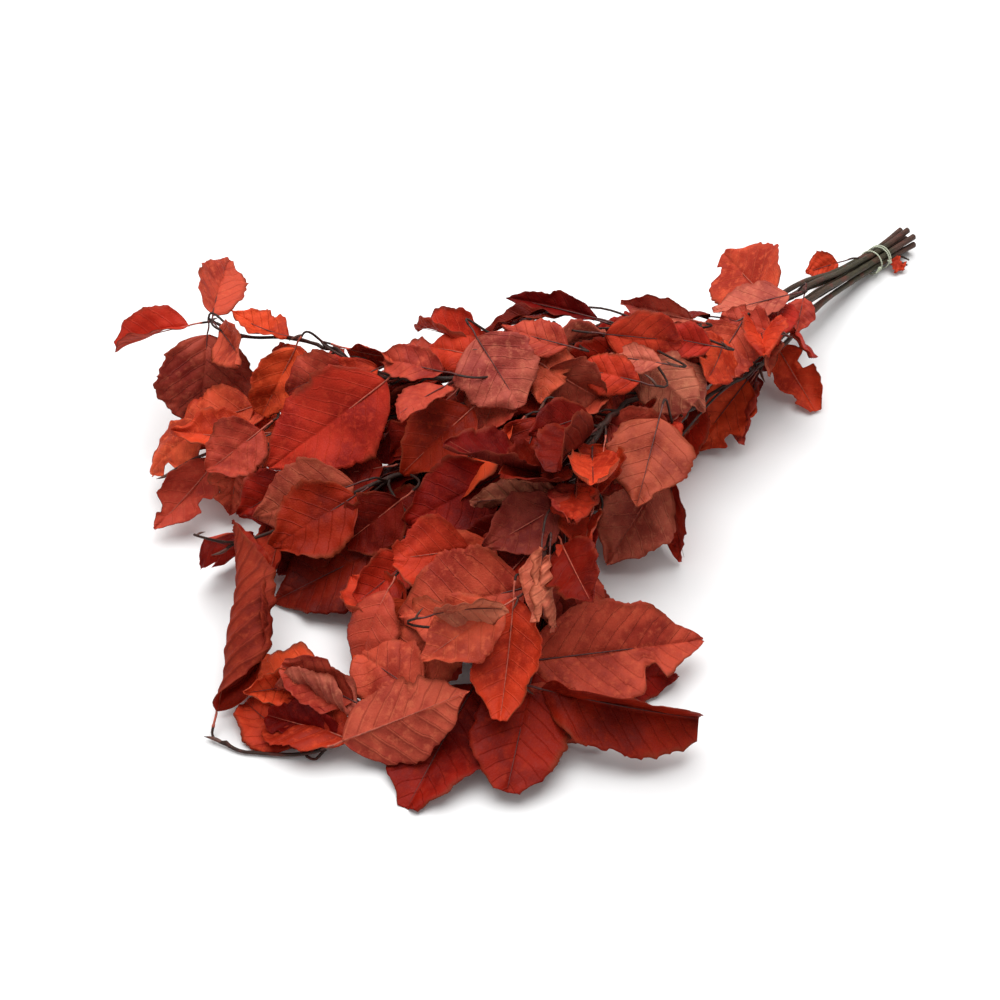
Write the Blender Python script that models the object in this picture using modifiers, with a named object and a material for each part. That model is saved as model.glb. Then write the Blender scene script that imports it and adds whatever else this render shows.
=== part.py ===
"""A tied bunch of preserved, red-dyed beech branches, lying on its side.

Eight cut stems lie side by side in a wound tie and fan out from it. Thin side twigs carry the
leaves, and each leaf is a stalk and a blade of its own. +X runs along the bunch towards the cut
ends, +Z is up, and the origin is at the centre of the underside. Metres and degrees.
"""

from collections import namedtuple
from itertools import product
from math import cos, hypot, pi, radians, sin

import bmesh
import bpy
from mathutils import Matrix, Vector
from mathutils.bvhtree import BVHTree
from mathutils.geometry import interpolate_bezier

COLLECTION = "tied_beech_bunch"

# Stems and twigs
STEM_DIAMETER = 0.0044
STEM_TIP_DIAMETER = 0.0018
TWIG_DIAMETER = 0.0016
STEM_GAP = 0.0003
STEM_SPACING = 0.018
FINE_SPACING = 0.003
TWIG_POINTS = 4
TWIG_BEND = 0.4
STEM_BEVEL_RESOLUTION = 2
TWIG_BEVEL_RESOLUTION = 1
WELD_DISTANCE = 0.00002

# Tie: a cord wound round the stems
TIE_CORD_DIAMETER = 0.0011
TIE_GAP = 0.0003
TIE_TURNS = 3.0
TIE_PITCH = 0.0020
TIE_STEP = 0.0075
TIE_STEP_TURN = 1.6
TIE_POINTS_PER_TURN = 14
TIE_START = 0.0025

# Leaves
LEAF_THICKNESS = 0.0004
STALK_DIAMETER = 0.0014
TIP_WIDTH = 0.0020
STALK_LENGTH = 0.008
STALK_GAP = 0.0004
OUTLINE_SKEW = 0.85
OUTLINE_FULLNESS = 0.8
FOLD_FADE = 1.5
WAVES_ALONG_EDGE = 1.5
STRAIGHT = 1e-6
LEAF_ACROSS = 4
LEAF_ALONG = 6
SPACE_AROUND_LEAF = 0.0007
SPACE_AROUND_TWIG = 0.0006

# The bundle: its centre line from the cut ends to where the stems part, and how far the ring of
# stems opens at each of its points
BUNDLE_LINE = (
    (0.390, -0.083, 0.0100),
    (0.362, -0.078, 0.0092),
    (0.342, -0.075, 0.0105),
    (0.300, -0.072, 0.0180),
    (0.255, -0.070, 0.0300),
)
BUNDLE_OPENING = (1.35, 1.0, 1.0, 1.2, 1.9)
STEMS_IN_RING = 7
RING_RADIUS = (STEM_DIAMETER + STEM_GAP) / 2 / sin(pi / STEMS_IN_RING)

# How a leaf's blade is bent: arch along the midrib, fold and cup across it, twist, edge waves
Form = namedtuple("Form", "arch fold cup twist wave")
FORMS = {
    "flat": Form(8, 5, 6, 6, 0.04),
    "arched": Form(45, 10, -25, 8, 0.05),
    "cupped": Form(-22, 12, 42, -8, 0.04),
    "folded": Form(16, 42, 14, 10, 0.05),
    "rolled": Form(24, 22, 85, 12, 0.03),
    "pleated": Form(18, 14, 12, -10, 0.06),
    "waved": Form(20, 8, 6, 24, 0.14),
}

DEGREES_PER_METRE_OF_LIFT = 1600

# A leaf: where its blade starts, which way it points, rises and rolls, its length, its width as a
# share of the length, and its colour
Leaf = namedtuple("Leaf", "form base heading rise roll length width tone")

# A branch: its place in the ring (None is the middle), its route past the bundle, and its leaves
Branch = namedtuple("Branch", "ring route leaves")

BRANCHES = (
    Branch(
        ring=39,
        route=(
            (0.185, -0.058, 0.052), (0.120, -0.044, 0.066), (0.050, -0.022, 0.086),
            (-0.010, 0.020, 0.094), (-0.030, 0.060, 0.088), (-0.025, 0.105, 0.084),
            (-0.030, 0.135, 0.080), (-0.038, 0.155, 0.077), (-0.040, 0.175, 0.074),
        ),
        leaves=(
            Leaf("waved", (-0.035, 0.055, 0.090), 155, -25, -45, 0.085, 0.66, "red"),
            Leaf("pleated", (-0.046, 0.188, 0.070), -150, -46, -25, 0.062, 0.95, "wine"),
            Leaf("cupped", (-0.032, 0.196, 0.074), 40, -10, 35, 0.065, 0.62, "rose"),
            Leaf("folded", (-0.046, 0.204, 0.070), 130, -10, -5, 0.054, 0.62, "red"),
            Leaf("cupped", (-0.042, 0.182, 0.078), -110, -15, 60, 0.050, 0.55, "rose"),
            Leaf("cupped", (-0.040, 0.120, 0.086), 160, -55, -50, 0.050, 0.72, "bright"),
            Leaf("arched", (-0.030, 0.065, 0.088), 145, -15, -25, 0.055, 0.60, "red"),
            Leaf("waved", (-0.025, 0.095, 0.086), -85, 0, 105, 0.050, 0.50, "bright"),
            Leaf("arched", (0.000, 0.045, 0.092), 115, -10, -15, 0.050, 0.60, "rose"),
        ),
    ),
    Branch(
        ring=347,
        route=(
            (0.185, -0.060, 0.042), (0.120, -0.042, 0.052), (0.050, -0.015, 0.066),
            (-0.010, 0.025, 0.068), (-0.055, 0.075, 0.058), (-0.080, 0.110, 0.046),
            (-0.100, 0.135, 0.040), (-0.120, 0.155, 0.028),
        ),
        leaves=(
            Leaf("arched", (-0.090, 0.150, 0.046), 145, -20, -5, 0.050, 0.60, "orange"),
            Leaf("cupped", (-0.080, 0.120, 0.048), 125, -10, -15, 0.050, 0.62, "bright"),
            Leaf("arched", (-0.060, 0.125, 0.050), 130, -10, 5, 0.050, 0.55, "orange"),
            Leaf("cupped", (-0.100, 0.135, 0.040), 155, -30, -25, 0.055, 0.62, "rose"),
            Leaf("cupped", (-0.055, 0.125, 0.056), -155, -35, 25, 0.050, 0.60, "orange"),
        ),
    ),
    Branch(
        ring=296,
        route=(
            (0.185, -0.062, 0.032), (0.120, -0.048, 0.038), (0.060, -0.025, 0.050),
            (0.000, 0.000, 0.054), (-0.045, 0.022, 0.052), (-0.090, 0.045, 0.044),
            (-0.120, 0.065, 0.036), (-0.150, 0.080, 0.033),
        ),
        leaves=(
            Leaf("flat", (-0.085, 0.040, 0.052), 135, -20, -50, 0.060, 0.60, "mauve"),
            Leaf("cupped", (-0.110, 0.075, 0.044), -150, -35, 40, 0.050, 0.55, "bright"),
            Leaf("flat", (-0.090, 0.010, 0.030), 145, -20, -20, 0.075, 0.60, "dark"),
            Leaf("cupped", (-0.090, 0.045, 0.036), 155, -25, -20, 0.050, 0.60, "dark"),
            Leaf("arched", (-0.055, 0.000, 0.042), 140, -20, -30, 0.065, 0.60, "dark"),
            Leaf("flat", (-0.155, 0.090, 0.036), -5, -55, 120, 0.045, 0.80, "red"),
        ),
    ),
    Branch(
        ring=244,
        route=(
            (0.185, -0.070, 0.022), (0.120, -0.056, 0.020), (0.040, -0.042, 0.028),
            (-0.050, -0.037, 0.026), (-0.125, -0.045, 0.018), (-0.200, -0.045, 0.008),
            (-0.230, -0.010, 0.003), (-0.236, 0.008, 0.003),
        ),
        leaves=(
            Leaf("rolled", (-0.225, 0.020, 0.006), 25, 25, 55, 0.115, 0.60, "wine"),
            Leaf("pleated", (-0.200, -0.050, 0.012), 100, 0, -10, 0.060, 0.50, "red"),
            Leaf("pleated", (-0.205, -0.050, 0.016), -40, 15, -150, 0.070, 0.58, "salmon"),
            Leaf("rolled", (-0.190, -0.045, 0.024), 95, 10, 30, 0.050, 0.60, "salmon"),
            Leaf("waved", (-0.175, -0.010, 0.014), 125, 4, 10, 0.055, 0.60, "bright"),
            Leaf("cupped", (-0.135, -0.030, 0.026), 70, -15, 0, 0.050, 0.80, "bright"),
            Leaf("arched", (-0.130, -0.020, 0.038), 175, -35, 15, 0.050, 0.50, "rose"),
        ),
    ),
    Branch(
        ring=142,
        route=(
            (0.185, -0.076, 0.048), (0.120, -0.070, 0.066), (0.035, -0.058, 0.076),
            (-0.020, -0.065, 0.070), (-0.045, -0.075, 0.066), (-0.095, -0.085, 0.054),
            (-0.118, -0.084, 0.040),
        ),
        leaves=(
            Leaf("waved", (-0.095, -0.085, 0.054), 135, -10, -40, 0.070, 0.66, "rose"),
            Leaf("waved", (-0.080, -0.055, 0.058), 145, -15, -25, 0.055, 0.62, "orange"),
            Leaf("cupped", (-0.105, -0.085, 0.052), -150, -35, 5, 0.070, 0.58, "bright"),
            Leaf("flat", (-0.135, -0.082, 0.022), -170, -14, -15, 0.085, 0.60, "wine"),
            Leaf("flat", (-0.115, -0.105, 0.020), -160, -14, -10, 0.080, 0.58, "wine"),
            Leaf("flat", (-0.045, -0.075, 0.068), 155, -20, -30, 0.050, 0.66, "mauve"),
            Leaf("rolled", (-0.040, -0.070, 0.070), 115, -5, 105, 0.050, 0.60, "tan"),
            Leaf("waved", (-0.115, -0.085, 0.046), 150, -20, -30, 0.050, 0.60, "rose"),
            Leaf("arched", (-0.015, -0.020, 0.080), 165, -15, 30, 0.060, 0.60, "bright"),
        ),
    ),
    Branch(
        ring=None,
        route=(
            (0.185, -0.070, 0.040), (0.120, -0.062, 0.050), (0.030, -0.068, 0.060),
            (-0.020, -0.077, 0.057), (-0.060, -0.086, 0.046), (-0.095, -0.092, 0.034),
            (-0.112, -0.100, 0.024),
        ),
        leaves=(
            Leaf("pleated", (-0.115, -0.100, 0.024), -45, 0, 40, 0.100, 0.56, "rose"),
            Leaf("folded", (-0.126, -0.118, 0.018), -70, -2, 65, 0.098, 0.50, "wine"),
            Leaf("waved", (-0.106, -0.122, 0.010), -48, -2, 20, 0.062, 0.52, "wine"),
        ),
    ),
    Branch(
        ring=193,
        route=(
            (0.185, -0.082, 0.034), (0.125, -0.082, 0.046), (0.085, -0.080, 0.056),
            (0.055, -0.086, 0.056), (0.025, -0.095, 0.050),
        ),
        leaves=(
            Leaf("cupped", (0.030, -0.055, 0.072), -80, -15, 50, 0.050, 0.80, "rose"),
            Leaf("flat", (0.025, -0.095, 0.050), 170, -45, -25, 0.060, 0.68, "rose"),
            Leaf("flat", (0.035, -0.095, 0.050), -130, -55, 70, 0.050, 0.60, "bright"),
            Leaf("cupped", (0.145, -0.085, 0.042), 160, -45, -35, 0.055, 0.80, "bright"),
            Leaf("cupped", (0.205, -0.075, 0.034), -110, -35, 35, 0.055, 0.62, "orange"),
        ),
    ),
    Branch(
        ring=90,
        route=(
            (0.185, -0.066, 0.058), (0.120, -0.052, 0.080), (0.080, -0.040, 0.091),
            (0.060, -0.026, 0.097), (0.040, -0.014, 0.100), (0.020, 0.004, 0.104),
            (0.005, 0.014, 0.107),
        ),
        leaves=(
            Leaf("flat", (0.205, -0.065, 0.056), 60, 0, -40, 0.062, 0.85, "orange"),
            Leaf("flat", (0.200, -0.080, 0.064), 150, -20, 0, 0.050, 0.70, "salmon"),
            Leaf("flat", (0.065, -0.050, 0.090), -95, -30, -150, 0.050, 0.70, "tan"),
            Leaf("folded", (0.070, -0.025, 0.096), -45, -10, 75, 0.050, 0.62, "bright"),
            Leaf("arched", (0.065, -0.020, 0.106), 100, 0, 25, 0.060, 0.50, "dark"),
            Leaf("folded", (0.010, 0.020, 0.102), 85, -5, -5, 0.055, 0.60, "bright"),
            Leaf("flat", (0.005, 0.020, 0.112), -110, -25, 25, 0.050, 0.95, "salmon"),
        ),
    ),
)

# Leans (rise, heading and roll) and lifts that a leaf may take to lie clear of its neighbours, the
# smallest first
LEANS = sorted(
    product(
        (0, 4, -4, 8, -8, 12, -12, 16, -16, 20, -20),
        (0, 5, -5, 10, -10),
        (0, 8, -8, 16, -16, 24, -24),
        (0, 0.003, -0.003, 0.006, -0.006, 0.010, -0.010, 0.014, -0.014, 0.018, -0.018),
    ),
    key=lambda lean: hypot(*lean[:3], lean[3] * DEGREES_PER_METRE_OF_LIFT),
)
TWIG_REACHES = (0.012, 0.006, 0.020, 0.030, 0.045, 0.060, 0.080, 0.100)

COLOURS = {
    "bark": (0.055, 0.036, 0.028),
    "cord": (0.55, 0.57, 0.46),
    "red": (0.40, 0.030, 0.020),
    "bright": (0.55, 0.040, 0.015),
    "orange": (0.62, 0.085, 0.030),
    "wine": (0.16, 0.010, 0.010),
    "dark": (0.10, 0.008, 0.008),
    "rose": (0.48, 0.070, 0.055),
    "salmon": (0.60, 0.130, 0.090),
    "tan": (0.58, 0.190, 0.110),
    "mauve": (0.34, 0.090, 0.080),
}
LEAF_ROUGHNESS = 0.55
BARK_ROUGHNESS = 0.8


def clear_scene():
    for thing in list(bpy.data.objects):
        bpy.data.objects.remove(thing)


def material(name, colour, roughness):
    made = bpy.data.materials.new(name)
    made.use_nodes = True
    shader = made.node_tree.nodes["Principled BSDF"]
    shader.inputs["Base Color"].default_value = (*colour, 1)
    shader.inputs["Roughness"].default_value = roughness
    shader.inputs["Metallic"].default_value = 0
    return made


def smooth_path(points, spacing):
    """Points about `spacing` apart on a smooth curve through the given ones."""
    knots = [Vector(point) for point in points]
    slopes = [(after - before) / 2 for before, after in zip(knots, knots[2:])]
    slopes = [knots[1] - knots[0], *slopes, knots[-1] - knots[-2]]
    path = [knots[0]]
    for index, (start, end) in enumerate(zip(knots, knots[1:])):
        count = max(1, round((end - start).length / spacing))
        handles = start + slopes[index] / 3, end - slopes[index + 1] / 3
        path += interpolate_bezier(start, *handles, end, count + 1)[1:]
    return path


def add_tube(name, path, diameters, resolution, collection):
    """A closed round tube along the path, as a mesh object."""
    curve = bpy.data.curves.new(name, "CURVE")
    curve.dimensions = "3D"
    curve.bevel_depth = 1
    curve.bevel_resolution = resolution
    curve.use_fill_caps = True
    spline = curve.splines.new("POLY")
    spline.points.add(len(path) - 1)
    for point, place, diameter in zip(spline.points, path, diameters):
        point.co = (*place, 1)
        point.radius = diameter / 2
    guide = bpy.data.objects.new(name, curve)
    collection.objects.link(guide)
    mesh = bpy.data.meshes.new_from_object(guide.evaluated_get(bpy.context.evaluated_depsgraph_get()))
    bpy.data.objects.remove(guide)
    weld(mesh)
    mesh.name = name
    mesh.shade_smooth()
    tube = bpy.data.objects.new(name, mesh)
    collection.objects.link(tube)
    return tube


def weld(mesh):
    shape = bmesh.new()
    shape.from_mesh(mesh)
    bmesh.ops.remove_doubles(shape, verts=shape.verts, dist=WELD_DISTANCE)
    shape.to_mesh(mesh)
    shape.free()


def taper(path, start, end):
    """Diameters that narrow evenly from start to end along a path."""
    last = len(path) - 1
    return [start + (end - start) * index / last for index in range(len(path))]


def join_solids(body, additions):
    """Unite the added solids with the body, into one closed skin."""
    for addition in additions:
        union = body.modifiers.new(addition.name, "BOOLEAN")
        union.operation = "UNION"
        union.solver = "EXACT"
        union.object = addition
    depsgraph = bpy.context.evaluated_depsgraph_get()
    mesh = bpy.data.meshes.new_from_object(body.evaluated_get(depsgraph))
    weld(mesh)
    body.modifiers.clear()
    body.data = mesh
    for addition in additions:
        bpy.data.objects.remove(addition)


def bundle_axes(point):
    """Directions across and up at a point of the bundle's centre line."""
    index = BUNDLE_LINE.index(point)
    before = Vector(BUNDLE_LINE[max(index - 1, 0)])
    after = Vector(BUNDLE_LINE[min(index + 1, len(BUNDLE_LINE) - 1)])
    along = (before - after).normalized()
    across = Vector((0, 0, 1)).cross(along).normalized()
    return across, along.cross(across)


def stem_route(branch):
    """The branch's main stem, from its cut end through the tie to its last twig."""
    route = []
    for point, opening in zip(BUNDLE_LINE, BUNDLE_OPENING):
        place = Vector(point)
        if branch.ring is not None:
            across, up = bundle_axes(point)
            turn = radians(branch.ring)
            place += (across * cos(turn) + up * sin(turn)) * RING_RADIUS * opening
        route.append(place)
    return route + [Vector(point) for point in branch.route]


def arc(angle, bend, reach):
    """Where a curve of steady bend gets to: forward and sideways."""
    if abs(bend) < STRAIGHT:
        return reach * cos(angle), reach * sin(angle)
    turned = angle + bend * reach
    return (sin(turned) - sin(angle)) / bend, (cos(angle) - cos(turned)) / bend


def leaf_axes(leaf):
    """Directions along the midrib, across the blade and out of its upper side."""
    turn = Matrix.Rotation(radians(leaf.heading), 3, "Z")
    turn @= Matrix.Rotation(-radians(leaf.rise), 3, "Y")
    turn @= Matrix.Rotation(radians(leaf.roll), 3, "X")
    return turn.col[0], turn.col[1], turn.col[2]


def leaf_point(leaf, u, v):
    """A point of the leaf: u is 0 where the blade starts and 1 at the tip, v is -1 to 1 across."""
    form = FORMS[leaf.form]
    forward, across, out = leaf_axes(leaf)
    base = Vector(leaf.base)
    if u < 0:
        return base + forward * leaf.length * u + across * v * STALK_DIAMETER / 2
    side = 1 if v >= 0 else -1
    widest = leaf.length * leaf.width / 2
    half_width = max(widest * sin(pi * u**OUTLINE_SKEW) ** OUTLINE_FULLNESS, TIP_WIDTH / 2)
    arch = radians(form.arch)
    ahead, drop = arc(0, arch / leaf.length, leaf.length * u)
    forward_here = forward * cos(arch * u) - out * sin(arch * u)
    twist = Matrix.Rotation(radians(form.twist) * u, 3, forward_here)
    across_here = twist @ across
    out_here = twist @ (out * cos(arch * u) + forward * sin(arch * u))
    fold = radians(form.fold) * min(FOLD_FADE * half_width / widest, 1)
    sideways, lift = arc(fold, radians(form.cup) / widest, abs(v) * half_width)
    lift += form.wave * widest * v * v * sin(2 * pi * (WAVES_ALONG_EDGE * u + side / 8))
    return base + forward * ahead - out * drop + across_here * side * sideways + out_here * lift


def stalk_start(leaf):
    return leaf_point(leaf, -STALK_LENGTH / leaf.length, 0)


def row_to_u(leaf, row):
    """The first row of the leaf's grid is the stalk's start, and the others are on the blade."""
    if row < 0.5:
        return -STALK_LENGTH / leaf.length
    return (row - 1) / (LEAF_ALONG - 1)


def leaf_sheet(leaf):
    """The leaf as an open sheet, with the vertices of its stalk."""
    sheet = bmesh.new()
    bmesh.ops.create_grid(sheet, x_segments=LEAF_ACROSS, y_segments=LEAF_ALONG, size=1)
    sheet.verts.ensure_lookup_table()
    stalk = []
    for vert in sheet.verts:
        row = round((vert.co.y + 1) / 2 * LEAF_ALONG)
        vert.co = leaf_point(leaf, row_to_u(leaf, row), vert.co.x)
        if row <= 1:
            stalk.append(vert.index)
    bmesh.ops.triangulate(sheet, faces=sheet.faces)
    sheet.normal_update()
    return sheet, stalk


def add_leaf(name, leaf, collection):
    sheet, stalk = leaf_sheet(leaf)
    mesh = bpy.data.meshes.new(name)
    sheet.to_mesh(mesh)
    sheet.free()
    mesh.shade_smooth()
    made = bpy.data.objects.new(name, mesh)
    collection.objects.link(made)
    made.vertex_groups.new(name="stalk").add(stalk, 1, "REPLACE")
    shell = made.modifiers.new("thickness", "SOLIDIFY")
    shell.thickness = STALK_DIAMETER
    shell.offset = 0
    shell.vertex_group = "stalk"
    shell.thickness_vertex_group = LEAF_THICKNESS / STALK_DIAMETER
    return made


def leaf_envelope(leaf):
    """The leaf's sheet moved out to both sides, as a tree to test for touching."""
    sheet, _ = leaf_sheet(leaf)
    places = []
    faces = []
    for side in (1, -1):
        start = len(places)
        places += [vert.co + vert.normal * side * SPACE_AROUND_LEAF for vert in sheet.verts]
        faces += [[start + vert.index for vert in face.verts] for face in sheet.faces]
    sheet.free()
    return BVHTree.FromPolygons(places, faces), min(place.z for place in places)


def object_tree(thing):
    places = [vert.co for vert in thing.data.vertices]
    return BVHTree.FromPolygons(places, [face.vertices for face in thing.data.polygons])


def path_is_clear(path, radius, trees):
    return all(tree.find_nearest(point)[3] > radius for tree in trees for point in path)


def points_along(path):
    """Points close together on the straight runs of a path."""
    places = []
    for start, end in zip(path, path[1:]):
        count = max(1, round((end - start).length / TWIG_DIAMETER))
        places += [start.lerp(end, step / count) for step in range(count)]
    return places


def twig_path(leaf, trunk, reach):
    """A side twig that leaves the stem `reach` before the leaf and bends into its stalk."""
    forward = leaf_axes(leaf)[0]
    end = stalk_start(leaf) - forward * STALK_GAP
    nearest = min(range(len(trunk)), key=lambda index: (trunk[index] - end).length)
    root = max(nearest - round(reach / FINE_SPACING), 1)
    start = trunk[root]
    bend = (end - start).length * TWIG_BEND
    grow = (trunk[root] - trunk[root - 1]).normalized() * bend
    turned = end - forward * TWIG_DIAMETER
    return [*interpolate_bezier(start, start + grow, turned - forward * bend, turned, TWIG_POINTS), end]


def lean_leaf(leaf, lean):
    rise, heading, roll, lift = lean
    return leaf._replace(
        base=(leaf.base[0], leaf.base[1], leaf.base[2] + lift),
        rise=leaf.rise + rise,
        heading=leaf.heading + heading,
        roll=leaf.roll + roll,
    )


def settle(name, leaf, trunk, own_trees, other_trees, leaf_trees):
    """Lean the leaf as little as it takes for it and its twig to lie clear of everything."""
    twig_radius = TWIG_DIAMETER / 2 + SPACE_AROUND_TWIG
    for lean in LEANS:
        tried = lean_leaf(leaf, lean)
        envelope, lowest = leaf_envelope(tried)
        stems = own_trees + other_trees
        if lowest < 0 or any(envelope.overlap(tree) for tree in leaf_trees + stems):
            continue
        for reach in TWIG_REACHES:
            path = twig_path(tried, trunk, reach)
            places = points_along(path)
            if min(place.z for place in places) < TWIG_DIAMETER:
                continue
            if not path_is_clear(places[:-2], twig_radius, [envelope]):
                continue
            if path_is_clear(places, twig_radius, other_trees + leaf_trees):
                return tried, path, envelope
    raise RuntimeError(f"{name} finds no clear place")


def add_stems(collection):
    stems = []
    for number, branch in enumerate(BRANCHES, 1):
        path = smooth_path(stem_route(branch), STEM_SPACING)
        widths = taper(path, STEM_DIAMETER, STEM_TIP_DIAMETER)
        stems.append(add_tube(f"branch_{number}", path, widths, STEM_BEVEL_RESOLUTION, collection))
    return stems


def grow_leaves(stems, collection):
    """Give every branch its twigs and leaves."""
    stem_trees = [[object_tree(stem)] for stem in stems]
    leaf_trees = []
    for number, (branch, stem) in enumerate(zip(BRANCHES, stems), 1):
        trunk = smooth_path(stem_route(branch), FINE_SPACING)
        own = stem_trees[number - 1]
        twigs = []
        for count, leaf in enumerate(branch.leaves, 1):
            others = [tree for trees in stem_trees if trees is not own for tree in trees]
            name = f"leaf_{number}_{count}"
            placed, path, envelope = settle(name, leaf, trunk, own, others, leaf_trees)
            widths = [TWIG_DIAMETER] * len(path)
            twig = add_tube(f"twig_{number}_{count}", path, widths, TWIG_BEVEL_RESOLUTION, collection)
            twigs.append(twig)
            own.append(object_tree(twig))
            leaf_trees.append(envelope)
            made = add_leaf(name, placed, collection)
            made.data.materials.append(material(name, COLOURS[leaf.tone], LEAF_ROUGHNESS))
        join_solids(stem, twigs)
        stem.data.materials.clear()
        stem.data.materials.append(material(stem.name, COLOURS["bark"], BARK_ROUGHNESS))


def ease(step):
    """From 0 to 1 with a soft start and end, as the step goes from 0 to 1."""
    step = min(max(step, 0), 1)
    return step**2 * (3 - 2 * step)


def add_tie(collection):
    """The cord's turns: two close together, then a long step to the last."""
    near, far = Vector(BUNDLE_LINE[1]), Vector(BUNDLE_LINE[2])
    along = (far - near).normalized()
    across = Vector((0, 0, 1)).cross(along).normalized()
    up = along.cross(across)
    radius = RING_RADIUS + STEM_DIAMETER / 2 + TIE_CORD_DIAMETER / 2 + TIE_GAP
    path = []
    for index in range(round(TIE_TURNS * TIE_POINTS_PER_TURN) + 1):
        turns = index / TIE_POINTS_PER_TURN
        ahead = TIE_START + TIE_PITCH * turns + TIE_STEP * ease(turns - TIE_STEP_TURN + 0.5)
        angle = 2 * pi * turns
        path.append(near + along * ahead + (across * cos(angle) + up * sin(angle)) * radius)
    tie = add_tube("tie", path, [TIE_CORD_DIAMETER] * len(path), TWIG_BEVEL_RESOLUTION, collection)
    tie.data.materials.append(material("tie", COLOURS["cord"], BARK_ROUGHNESS))


def stand_on_origin(collection):
    """Move everything so that the origin is at the centre of the underside."""
    depsgraph = bpy.context.evaluated_depsgraph_get()
    corners = []
    for thing in collection.objects:
        corners += [Vector(corner) for corner in thing.evaluated_get(depsgraph).bound_box]
    low = Vector([min(corner[axis] for corner in corners) for axis in range(3)])
    high = Vector([max(corner[axis] for corner in corners) for axis in range(3)])
    shift = Vector(((low.x + high.x) / 2, (low.y + high.y) / 2, low.z))
    for thing in collection.objects:
        thing.data.transform(Matrix.Translation(-shift))


def main():
    clear_scene()
    collection = bpy.data.collections.new(COLLECTION)
    bpy.context.scene.collection.children.link(collection)
    stems = add_stems(collection)
    grow_leaves(stems, collection)
    add_tie(collection)
    stand_on_origin(collection)


main()
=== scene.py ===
"""The looks of a tied bunch of preserved, red-dyed beech branches that lies on its side.

Eight stems fan out from a wound tie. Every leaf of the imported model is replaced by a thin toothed
and veined blade with its own stalk and midrib, more small leaves fill the crown, and each stem
gets its bark, side twigs, buds and cut end. Metres and degrees.
"""

from collections import namedtuple
from functools import cache
from itertools import product
from math import ceil, cos, hypot, pi, radians, sin, tan
from random import Random

import bmesh
import bpy
import numpy as np
from bpy.props import FloatProperty, FloatVectorProperty, PointerProperty
from mathutils import Matrix, Vector
from mathutils.bvhtree import BVHTree
from mathutils.geometry import interpolate_bezier


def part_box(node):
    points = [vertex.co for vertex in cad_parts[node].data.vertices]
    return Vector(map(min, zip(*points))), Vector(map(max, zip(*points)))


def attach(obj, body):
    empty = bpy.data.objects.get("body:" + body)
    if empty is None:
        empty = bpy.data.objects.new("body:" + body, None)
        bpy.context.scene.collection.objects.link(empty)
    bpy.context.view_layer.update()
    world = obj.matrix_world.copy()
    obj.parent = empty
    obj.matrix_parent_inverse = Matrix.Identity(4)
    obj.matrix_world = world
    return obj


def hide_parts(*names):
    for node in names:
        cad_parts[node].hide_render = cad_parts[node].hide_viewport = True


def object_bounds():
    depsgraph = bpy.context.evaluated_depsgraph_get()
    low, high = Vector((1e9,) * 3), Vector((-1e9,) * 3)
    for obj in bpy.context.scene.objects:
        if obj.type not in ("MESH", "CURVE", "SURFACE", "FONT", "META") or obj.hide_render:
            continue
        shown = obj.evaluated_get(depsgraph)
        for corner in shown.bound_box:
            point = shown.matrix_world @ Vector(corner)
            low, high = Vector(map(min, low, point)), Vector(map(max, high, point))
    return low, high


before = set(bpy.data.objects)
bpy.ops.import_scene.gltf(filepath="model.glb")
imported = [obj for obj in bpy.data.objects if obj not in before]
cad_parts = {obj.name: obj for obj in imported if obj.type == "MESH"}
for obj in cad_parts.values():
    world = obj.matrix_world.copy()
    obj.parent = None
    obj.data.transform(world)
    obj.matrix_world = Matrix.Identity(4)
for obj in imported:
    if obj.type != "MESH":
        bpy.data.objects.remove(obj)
CAD_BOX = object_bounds()

bl_info = {
    "name": "Tied Beech Bunch",
    "version": (1, 0, 0),
    "blender": (4, 5, 0),
    "location": "3D View > Sidebar > Beech",
    "description": "Makes the looks of a tied bunch of preserved beech branches",
    "category": "Object",
}

# Stems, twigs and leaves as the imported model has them
STEM_DIAMETER = 0.0044
STEM_TIP_DIAMETER = 0.0018
TWIG_DIAMETER = 0.0016
STEM_GAP = 0.0003
FINE_SPACING = 0.003
TWIG_POINTS = 4
TWIG_BEND = 0.4
TIE_CORD_DIAMETER = 0.0011
TIE_GAP = 0.0003
TIE_TURNS = 3.0
TIE_PITCH = 0.0020
TIE_STEP = 0.0075
TIE_STEP_TURN = 1.6
TIE_START = 0.0025
STALK_DIAMETER = 0.0014
TIP_WIDTH = 0.0020
STALK_LENGTH = 0.008
STALK_GAP = 0.0004
OUTLINE_SKEW = 0.85
OUTLINE_FULLNESS = 0.8
FOLD_FADE = 1.5
WAVES_ALONG_EDGE = 1.5
STRAIGHT = 1e-6
COARSE_ACROSS = 4
COARSE_ALONG = 6
SPACE_AROUND_LEAF = 0.0006
SPACE_AROUND_TWIG = 0.0004

BUNDLE_LINE = (
    (0.390, -0.083, 0.0100),
    (0.362, -0.078, 0.0092),
    (0.342, -0.075, 0.0105),
    (0.300, -0.072, 0.0180),
    (0.255, -0.070, 0.0300),
)
BUNDLE_OPENING = (1.35, 1.0, 1.0, 1.2, 1.9)
STEMS_IN_RING = 7
RING_RADIUS = (STEM_DIAMETER + STEM_GAP) / 2 / sin(pi / STEMS_IN_RING)

# How a leaf's blade is bent: arch along the midrib, fold and cup across it, twist, edge waves
Form = namedtuple("Form", "arch fold cup twist wave")
FORMS = {
    "flat": Form(8, 5, 6, 6, 0.04),
    "arched": Form(45, 10, -25, 8, 0.05),
    "cupped": Form(-22, 12, 42, -8, 0.04),
    "folded": Form(16, 42, 14, 10, 0.05),
    "rolled": Form(24, 22, 85, 12, 0.03),
    "pleated": Form(18, 14, 12, -10, 0.06),
    "waved": Form(20, 8, 6, 24, 0.14),
}

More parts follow.
